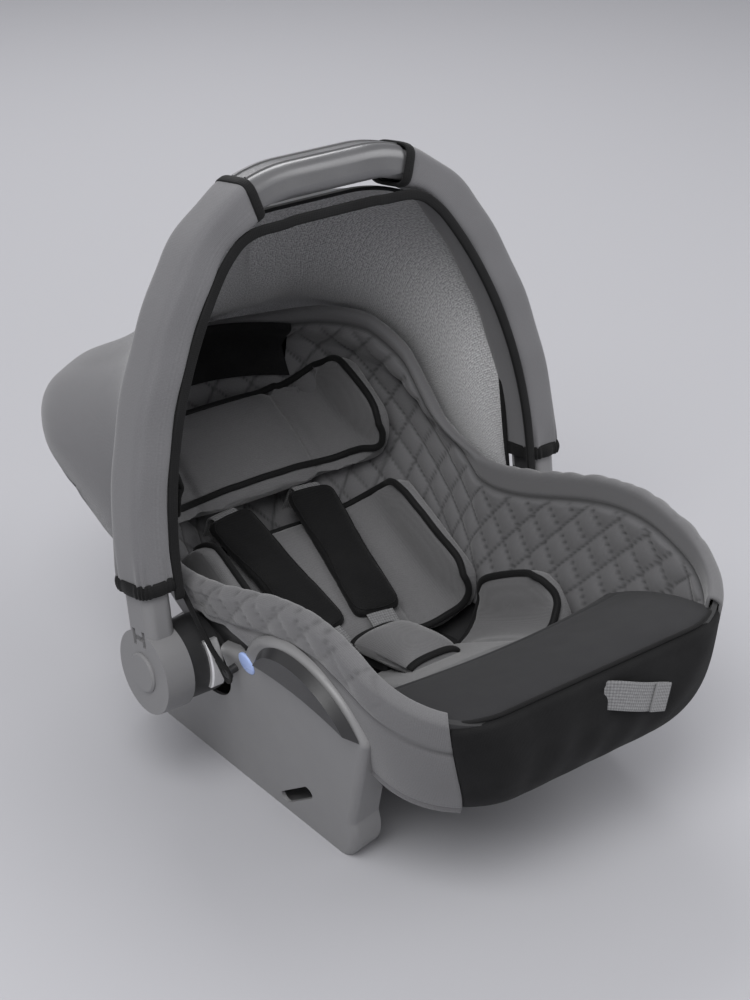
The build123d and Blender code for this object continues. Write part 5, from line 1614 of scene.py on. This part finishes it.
@dataclass
class Harness:
    """Shoulder pads and straps, crotch pad and strap, and the adjuster's loose tail."""

    bench: Workbench
    slope: float = BODY_WEDGE.slope
    body_origin: Pair = BODY_WEDGE.origin
    pad_start: float = 0.022
    lower_spread: float = 0.028
    upper_spread: float = 0.045
    pad_length: float = 0.148
    pad_voxel: float = 0.0028
    pad_shrink: float = 0.0008
    pad_cap: float = 0.0025
    rise: float = 0.0053
    stitch: Pair = (0.0011, 0.0008)
    stitch_level: float = 0.013
    stitch_lift: float = 0.0002
    stitch_ring: tuple[Pair, ...] = ((0.006, -0.019), (0.074, -0.0202), (0.142, -0.019), (0.142, 0.019),
                                     (0.074, 0.0202), (0.006, 0.019))
    webbing: float = 0.027
    webbing_thickness: float = 0.0019
    shoulder_way: tuple[Pair, ...] = ((-0.0240, 0.0065), (-0.010, 0.0066), (0.03, 0.0065), (0.10, 0.0065),
                                      (0.140, 0.0065), (0.1500, 0.0058), (0.1541, 0.0015), (0.1541, -0.008),
                                      (0.1541, -0.030), (0.1541, -0.0585))
    crotch_half: float = 0.029
    crotch_dome: float = 0.0175
    crotch_edge: float = 0.0018
    crotch_thickness: float = 0.0075
    crotch_reach: Pair = (-0.0200, -0.1050)
    crotch_levels: Pair = (0.0880, 0.1010)
    crotch_binding: Pair = (0.0072, 0.0046)
    crotch_counts: tuple[int, int] = (61, 57)
    crotch_way: tuple[Triple, ...] = ((0, -0.0575, 0.0855), (0, -0.070, 0.0880), (0, -0.080, 0.0895),
                                      (0, -0.0845, 0.0870), (0, -0.0849, 0.078), (0, -0.0849, 0.0415))
    adjuster_way: tuple[Triple, ...] = ((0, 0.1705, 0.1056), (0, 0.1745, 0.0968), (0, 0.120, 0.0675),
                                        (0, 0.068, 0.0415), (0, 0.045, 0.0371), (0, -0.060, 0.0371),
                                        (0, -0.160, 0.0371), (0, -0.184, 0.0440), (0, -0.225, 0.1045),
                                        (0, -0.262, 0.1600), (0, -0.2715, 0.1677), (0, -0.284, 0.1686),
                                        (0, -0.3010, 0.1686))
    tail_width: float = 0.023
    tail_lift: Triple = (0.0, -1.0, 0.12)
    tail_way: tuple[Triple, ...] = ((-0.002, -0.2995, 0.1700), (0.006, -0.3045, 0.1690),
                                    (0.022, -0.3070, 0.1630), (0.042, -0.3060, 0.1545),
                                    (0.060, -0.3035, 0.1470))
    fold_offset: Triple = (0.001, -0.0022, 0.0)

    def pad_place(self, side: Side, along: Values, across: Values, up: Values) -> Array:
        """Points on one shoulder strap's own plane.

        Args:
            side: the strap's side.
            along: distances up the strap from the pad's low end.
            across: distances from the strap's middle line.
            up: distances above its plane.

        Returns:
            Points along a new last axis.
        """
        c, s = math.cos(self.slope), math.sin(self.slope)
        run = unit(np.array([side.value * (self.upper_spread - self.lower_spread) / self.pad_length, c, s]))
        normal = np.array([0.0, -s, c])
        cross = np.cross(run, normal)
        start = np.array([side.value * self.lower_spread,
                          self.body_origin[0] + self.pad_start * c - self.rise * s,
                          self.body_origin[1] + self.pad_start * s + self.rise * c])
        along, across, up = np.broadcast_arrays(along, across, up)
        return start + along[..., None] * run + across[..., None] * cross + up[..., None] * normal

    def ribbon(self, name: str, path: Array, lift: Array, width: float = 0.0) -> Object:
        """Webbing: a flat profile with rounded edges along a path."""
        profile = oval(width or self.webbing, self.webbing_thickness, 6, 28)
        return tube_piece(name, path, profile, lift)

    @staticmethod
    def square_to(across: Array, path: Array) -> Array:
        """Directions square to a path and to the direction across it."""
        return np.cross(across, unit(np.gradient(path, axis=0)))

    def build(self) -> None:
        """Make the shoulder pads and straps, then the crotch pad and the adjuster's strap."""
        for side in Side:
            self.shoulder(side)
        self.crotch()
        self.tail()

    def shoulder(self, side: Side) -> None:
        """Shoulder pad with its stitching, and the strap under it.

        Args:
            side: the strap's side.
        """
        bench = self.bench
        pad = bench.soft_copy(f"{side.word}_shoulder_pad_soft", f"{side.word}_shoulder_pad", self.pad_voxel,
                              self.pad_shrink, self.pad_cap)
        refine(pad)
        bench.settle(pad, BLACK_KNIT, "seat", f"{side.word}_shoulder_pad")
        ring = np.array(self.stitch_ring)
        loop = self.pad_place(side, ring[:, 0], ring[:, 1], self.stitch_level)
        stitch = laid_on(pad, smooth_line(loop, 150, True), self.stitch_lift, 1)
        thread = tube_piece(f"{side.word}_shoulder_pad_stitch", stitch, oval(*self.stitch, 2, 8),
                            (0, -math.sin(self.slope), math.cos(self.slope)), True)
        bench.settle(thread, BLACK_TAPE, "seat")
        way = np.array(self.shoulder_way)
        line = smooth_line(self.pad_place(side, way[:, 0], 0.0, way[:, 1]), 160)
        across = self.pad_place(side, 0.0, 1.0, 0.0) - self.pad_place(side, 0.0, 0.0, 0.0)
        strap = self.ribbon(f"{side.word}_shoulder_webbing", line, self.square_to(across, line))
        bench.settle(strap, STRAP_WEAVE, "seat", f"{side.word}_shoulder_strap")

    def crotch_faces(self) -> tuple[Array, Array]:
        """Faces of the crotch pad: a dome (1 - |2k - 1|^3.4)^0.8 over its length, lower at the sides.

        Returns:
            Points of the upper and the lower face, across by along.
        """
        columns, rows = self.crotch_counts
        u = np.linspace(-1, 1, columns)[:, None]
        k = np.linspace(0, 1, rows)[None]
        ends = np.abs(2 * k - 1)
        dome = self.crotch_dome * np.maximum(1 - ends ** 3.4, 0) ** 0.8 * (1 - 0.62 * np.abs(u) ** 3)
        base = np.stack([self.crotch_half * (1 - 0.22 * ends ** 6) * u, lerp(*self.crotch_reach, k) + 0 * u,
                         lerp(*self.crotch_levels, k) + 0 * u], axis=-1)
        top, low = base.copy(), base.copy()
        rim = np.sqrt(np.maximum(1 - u ** 8, 0.02)) * np.sqrt(np.maximum(1 - ends ** 8, 0.02))
        top[..., 2] += dome + self.crotch_edge * rim
        low[..., 2] += np.maximum(dome - self.crotch_thickness, 0) - self.crotch_edge * rim
        return top, low

    def crotch(self) -> None:
        """Crotch pad with dark bindings over its ends, and the strap under it."""
        bench = self.bench
        top, low = self.crotch_faces()
        pad = grid_piece("crotch_pad_soft", np.concatenate([top, low[:, ::-1]], axis=1), (False, True), True)
        bench.settle(pad, CUSHION_KNIT, "seat", "crotch_pad")
        for word, row in (("rear", 3), ("front", -4)):
            tape = tube_piece(f"crotch_pad_{word}_binding", top[:, row], oval(*self.crotch_binding, 2.5, 14),
                              (0, 0, 1))
            bench.settle(tape, BLACK_TAPE, "seat")
        way = smooth_line(np.array(self.crotch_way), 80)
        strap = self.ribbon("crotch_webbing", way, self.square_to(np.array([1.0, 0, 0]), way))
        bench.settle(strap, STRAP_WEAVE, "seat", "crotch_strap")

    def tail(self) -> None:
        """Adjuster strap: under the seat from yoke to front, and its loose tail folded to a loop end."""
        bench = self.bench
        line = smooth_line(np.array(self.adjuster_way), 240)
        strap = self.ribbon("adjuster_webbing", line, self.square_to(np.array([1.0, 0, 0]), line))
        bench.settle(strap, STRAP_WEAVE, "seat", "adjuster_strap")
        way, lift = np.array(self.tail_way), np.array(self.tail_lift)
        flap = self.ribbon("adjuster_tail", smooth_line(way, 90), lift, self.tail_width)
        bench.settle(flap, STRAP_WEAVE, "seat")
        doubled = smooth_line(way[3:] + np.array(self.fold_offset), 30)
        fold = self.ribbon("adjuster_tail_fold", doubled, lift, self.tail_width)
        bench.settle(fold, STRAP_WEAVE, "seat")


@dataclass
class SideLoops:
    """Elastic loops that hold the canopy's lower corners to the pegs on the rails."""

    bench: Workbench
    tape: Pair = (0.0065, 0.0018)
    way: tuple[Triple, ...] = ((0.1765, 0.004, 0.1875), (0.1788, -0.014, 0.1765), (0.1790, -0.036, 0.1575),
                               (0.1772, -0.0515, 0.1440), (0.1748, -0.0600, 0.1345), (0.1738, -0.0560, 0.1290),
                               (0.1748, -0.0505, 0.1345), (0.1772, -0.0465, 0.1440))

    def build(self) -> None:
        """Make one loop on each side, tucked under the cover's rim at its upper end."""
        for side in Side:
            line = smooth_line(np.array(self.way) * np.array([side.value, 1, 1]), 110)
            loop = tube_piece(f"{side.word}_canopy_loop", line, oval(*self.tape, 4, 14),
                              (float(side.value), 0, 0.1))
            self.bench.settle(loop, BLACK_TAPE, "seat")


@dataclass
class HubSprings:
    """Coil behind each lock gear and leaf behind each release button."""

    bench: Workbench
    coil_start: float = 0.1733
    coil_length: float = 0.0136
    coil_radius: float = 0.010
    coil_turns: int = 4
    turn_samples: int = 40
    leaf_samples: int = 60
    wire: float = 0.0016
    leaf_centre: float = 0.00724
    leaf_radius: float = 0.02056
    leaf_half_turn: float = math.radians(72.0)
    leaf_place: float = 0.1695
    leaf_ends: float = 0.01338
    leaf: Pair = (0.006, 0.0008)
    press_tilt: float = math.radians(10.0)

    def build(self) -> None:
        """Make both springs on each side, each with a mesh of its own."""
        share = np.linspace(0, 1, self.turn_samples * self.coil_turns)
        turn = 2 * math.pi * self.coil_turns * share
        arc = np.linspace(-self.leaf_half_turn, self.leaf_half_turn, self.leaf_samples)
        press = np.array([0.0, -math.cos(self.press_tilt), math.sin(self.press_tilt)])
        cross = np.array([0.0, math.sin(self.press_tilt), math.cos(self.press_tilt)])
        hub_height = self.bench.arch.hub_height
        for side in Side:
            sign = side.value
            coil = np.stack([sign * (self.coil_start + self.coil_length * share),
                             self.coil_radius * np.cos(turn),
                             hub_height + self.coil_radius * np.sin(turn)], axis=-1)
            spring = tube_piece(f"{side.word}_lock_coil", coil, oval(self.wire, self.wire, 2, 8), (1.0, 0, 0))
            self.bench.settle(spring, PLATED_STEEL, "handle", f"{side.word}_lock_spring")
            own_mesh(spring)
            bow = np.cos(arc)[:, None] * press + np.sin(arc)[:, None] * cross
            hub = np.array([sign * self.leaf_place, 0.0, hub_height])
            way = hub + self.leaf_centre * press + self.leaf_radius * bow
            leaf = tube_piece(f"{side.word}_button_leaf", way, oval(*self.leaf, 8, 20), bow)
            self.bench.settle(leaf, PLATED_STEEL, "handle", f"{side.word}_button_spring")
            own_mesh(leaf)


@dataclass
class BeltMarkers:
    """Blue domed buttons that mark the way of the vehicle belt, in front of each belt guide."""

    bench: Workbench
    reach: float = -0.0765
    height: float = 0.1525
    radius: float = 0.0100
    dome: float = 0.0016
    foot: float = 0.0004
    sunk: float = 0.001
    points: int = 48
    rings: int = 12
    rail_offset: float = 0.135
    rail_slant: float = math.radians(12.7)

    def build(self) -> None:
        """Make both markers as low domes square to the rail's outer face."""
        angle = np.linspace(0, 2 * math.pi, self.points, endpoint=False)[None]
        share = np.linspace(0.02, 1, self.rings)[:, None]
        ring = np.concatenate([share, np.ones((3, 1))])
        rise = np.concatenate([self.foot + self.dome * np.sqrt(1 - (0.999 * share) ** 2),
                               [[self.foot], [0.0], [-self.sunk]]])
        c, s = math.cos(self.rail_slant), math.sin(self.rail_slant)
        for side in Side:
            out = np.array([side.value * c, 0.0, -s])
            up = np.array([side.value * s, 0.0, c])
            centre = np.array([side.value * (self.rail_offset + self.height * math.tan(self.rail_slant)),
                               self.reach, self.height])
            grid = (centre + self.radius * (ring * np.cos(angle))[..., None] * np.array([0, 1.0, 0])
                    + self.radius * (ring * np.sin(angle))[..., None] * up
                    + (rise + 0 * angle)[..., None] * out)
            dot = grid_piece(f"{side.word}_belt_dot", grid, (False, True), True)
            self.bench.settle(dot, BLUE_DOT, "seat", f"{side.word}_belt_marker")


@dataclass
class Hardware:
    """Finishes of the rigid pieces that show as the frame has them."""

    bench: Workbench
    singles: tuple[tuple[str, Finish], ...] = (
        ("seat_shell", DARK_PLASTIC), ("handle_outer", ARM_PLASTIC), ("handle_inner_cover", DARK_PLASTIC),
        ("grip_cover", SILVER_LACQUER), ("buckle_body", DARK_PLASTIC), ("buckle_button", RED_PRESS),
        ("crotch_anchor", PLATED_STEEL), ("harness_yoke", PLATED_STEEL), ("adjuster_body", DARK_PLASTIC),
        ("adjuster_lever", COATED_LEVER))
    pairs: tuple[tuple[str, Finish], ...] = (
        ("base_rail", RAIL_PLASTIC), ("belt_guide", HORN_PLASTIC), ("canopy_peg", DARK_PLASTIC),
        ("hub_drum", DARK_PLASTIC), ("hub_cap", ARM_PLASTIC), ("release_button", BUTTON_SILVER),
        ("lock_ring", ACETAL), ("lock_gear", ACETAL), ("pivot_pin", PLATED_STEEL), ("tongue", PLATED_STEEL))

    def build(self) -> None:
        """Assign each node its finish."""
        named = list(self.singles)
        named += [(f"{side.word}_{stem}", finish) for side in Side for stem, finish in self.pairs]
        for node, finish in named:
            shown = self.bench.frame["nodes"][node]
            shown.data.materials.clear()
            shown.data.materials.append(self.bench.finishes.of(finish))
            LOG.info("%s wears %s", node, finish.name)


@dataclass(frozen=True)
class Lamp:
    """One soft area lamp that points at the object."""

    name: str
    spot: Triple
    size: float
    power: float


@dataclass
class Studio:
    """Pale floor, soft lamps and the camera at the photograph's angle."""

    azimuth: float = math.radians(-38.0)
    elevation: float = math.radians(27.0)
    place: Triple = (-0.8876, -1.1579, 0.9548)
    lens: float = 70.2
    sensor: float = 36.0
    paper: Triple = (0.43, 0.43, 0.452)
    curve_start: float = 3.2
    curve_radius: float = 1.6
    air: Triple = (0.93, 0.93, 0.96)
    air_strength: float = 0.55
    aim: Triple = (0.0, 0.0, 0.2)
    lamps: tuple[Lamp, ...] = (Lamp("key_lamp", (-1.6, -1.2, 2.6), 1.8, 70.0),
                               Lamp("fill_lamp", (2.2, -1.6, 1.7), 2.2, 32.0),
                               Lamp("rim_lamp", (0.9, 2.0, 2.2), 1.6, 34.0))

    def floor(self) -> None:
        """Wide floor that curves up far behind the object, in one smooth sheet."""
        across = np.linspace(-6, 6, 9)
        turn = np.linspace(0, math.pi / 2, 12)
        depth = np.concatenate([[-5.0, 0.0], self.curve_start + self.curve_radius * np.sin(turn),
                                [self.curve_start + self.curve_radius]])
        height = np.concatenate([[0.0, 0.0], self.curve_radius * (1 - np.cos(turn)), [5.0]])
        view = np.array([math.sin(-self.azimuth), math.cos(self.azimuth), 0.0])
        side = np.array([view[1], -view[0], 0.0])
        grid = (depth[None, :, None] * view + across[:, None, None] * side
                + height[None, :, None] * np.array([0, 0, 1.0]))
        sheet = grid_piece("studio_floor", grid)
        material = bpy.data.materials.new("studio_paper")
        material.use_nodes = True
        shader = material.node_tree.nodes["Principled BSDF"]
        shader.inputs["Base Color"].default_value = (*self.paper, 1.0)
        shader.inputs["Roughness"].default_value = 0.9
        shader.inputs["Specular IOR Level"].default_value = 0.1
        sheet.data.materials.append(material)

    def light(self) -> None:
        """Soft key from the upper left, wide fill from the right, a rim lamp behind and light all round."""
        for lamp in self.lamps:
            data = bpy.data.lights.new(lamp.name, "AREA")
            data.size = lamp.size
            data.energy = lamp.power
            hung = bpy.data.objects.new(lamp.name, data)
            bpy.context.scene.collection.objects.link(hung)
            hung.location = lamp.spot
            hung.rotation_euler = (Vector(self.aim) - Vector(lamp.spot)).to_track_quat("-Z", "Y").to_euler()
        world = bpy.context.scene.world or bpy.data.worlds.new("studio_air")
        bpy.context.scene.world = world
        world.use_nodes = True
        air = world.node_tree.nodes["Background"]
        air.inputs["Color"].default_value = (*self.air, 1.0)
        air.inputs["Strength"].default_value = self.air_strength

    def camera(self) -> None:
        """Camera with the photograph's place, direction and lens."""
        data = bpy.data.cameras.new("photo_camera")
        data.lens = self.lens
        data.sensor_width = self.sensor
        data.clip_end = 50.0
        camera = bpy.data.objects.new("photo_camera", data)
        bpy.context.scene.collection.objects.link(camera)
        back = Vector((math.sin(self.azimuth) * math.cos(self.elevation),
                       -math.cos(self.azimuth) * math.cos(self.elevation), math.sin(self.elevation)))
        turn = (-back).to_track_quat("-Z", "Y").to_matrix().to_4x4()
        camera.matrix_world = Matrix.Translation(self.place) @ turn
        bpy.context.scene.camera = camera

    def build(self) -> None:
        """Set the stage and the colour handling."""
        self.floor()
        self.light()
        self.camera()
        bpy.context.scene.view_settings.view_transform = "Standard"


def main() -> None:
    """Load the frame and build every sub-assembly."""
    logging.basicConfig(level=logging.INFO, format="%(name)s: %(message)s")
    for thing in list(bpy.data.objects):
        bpy.data.objects.remove(thing)
    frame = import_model()
    bench = Workbench(frame, Finishes())
    Studio().build()
    for assembly in (SeatCover, FrontApron, Canopy, HandleDress, Cushions, Harness, SideLoops, HubSprings,
                     BeltMarkers, Hardware):
        assembly(bench).build()


if __name__ == "__main__":
    main()
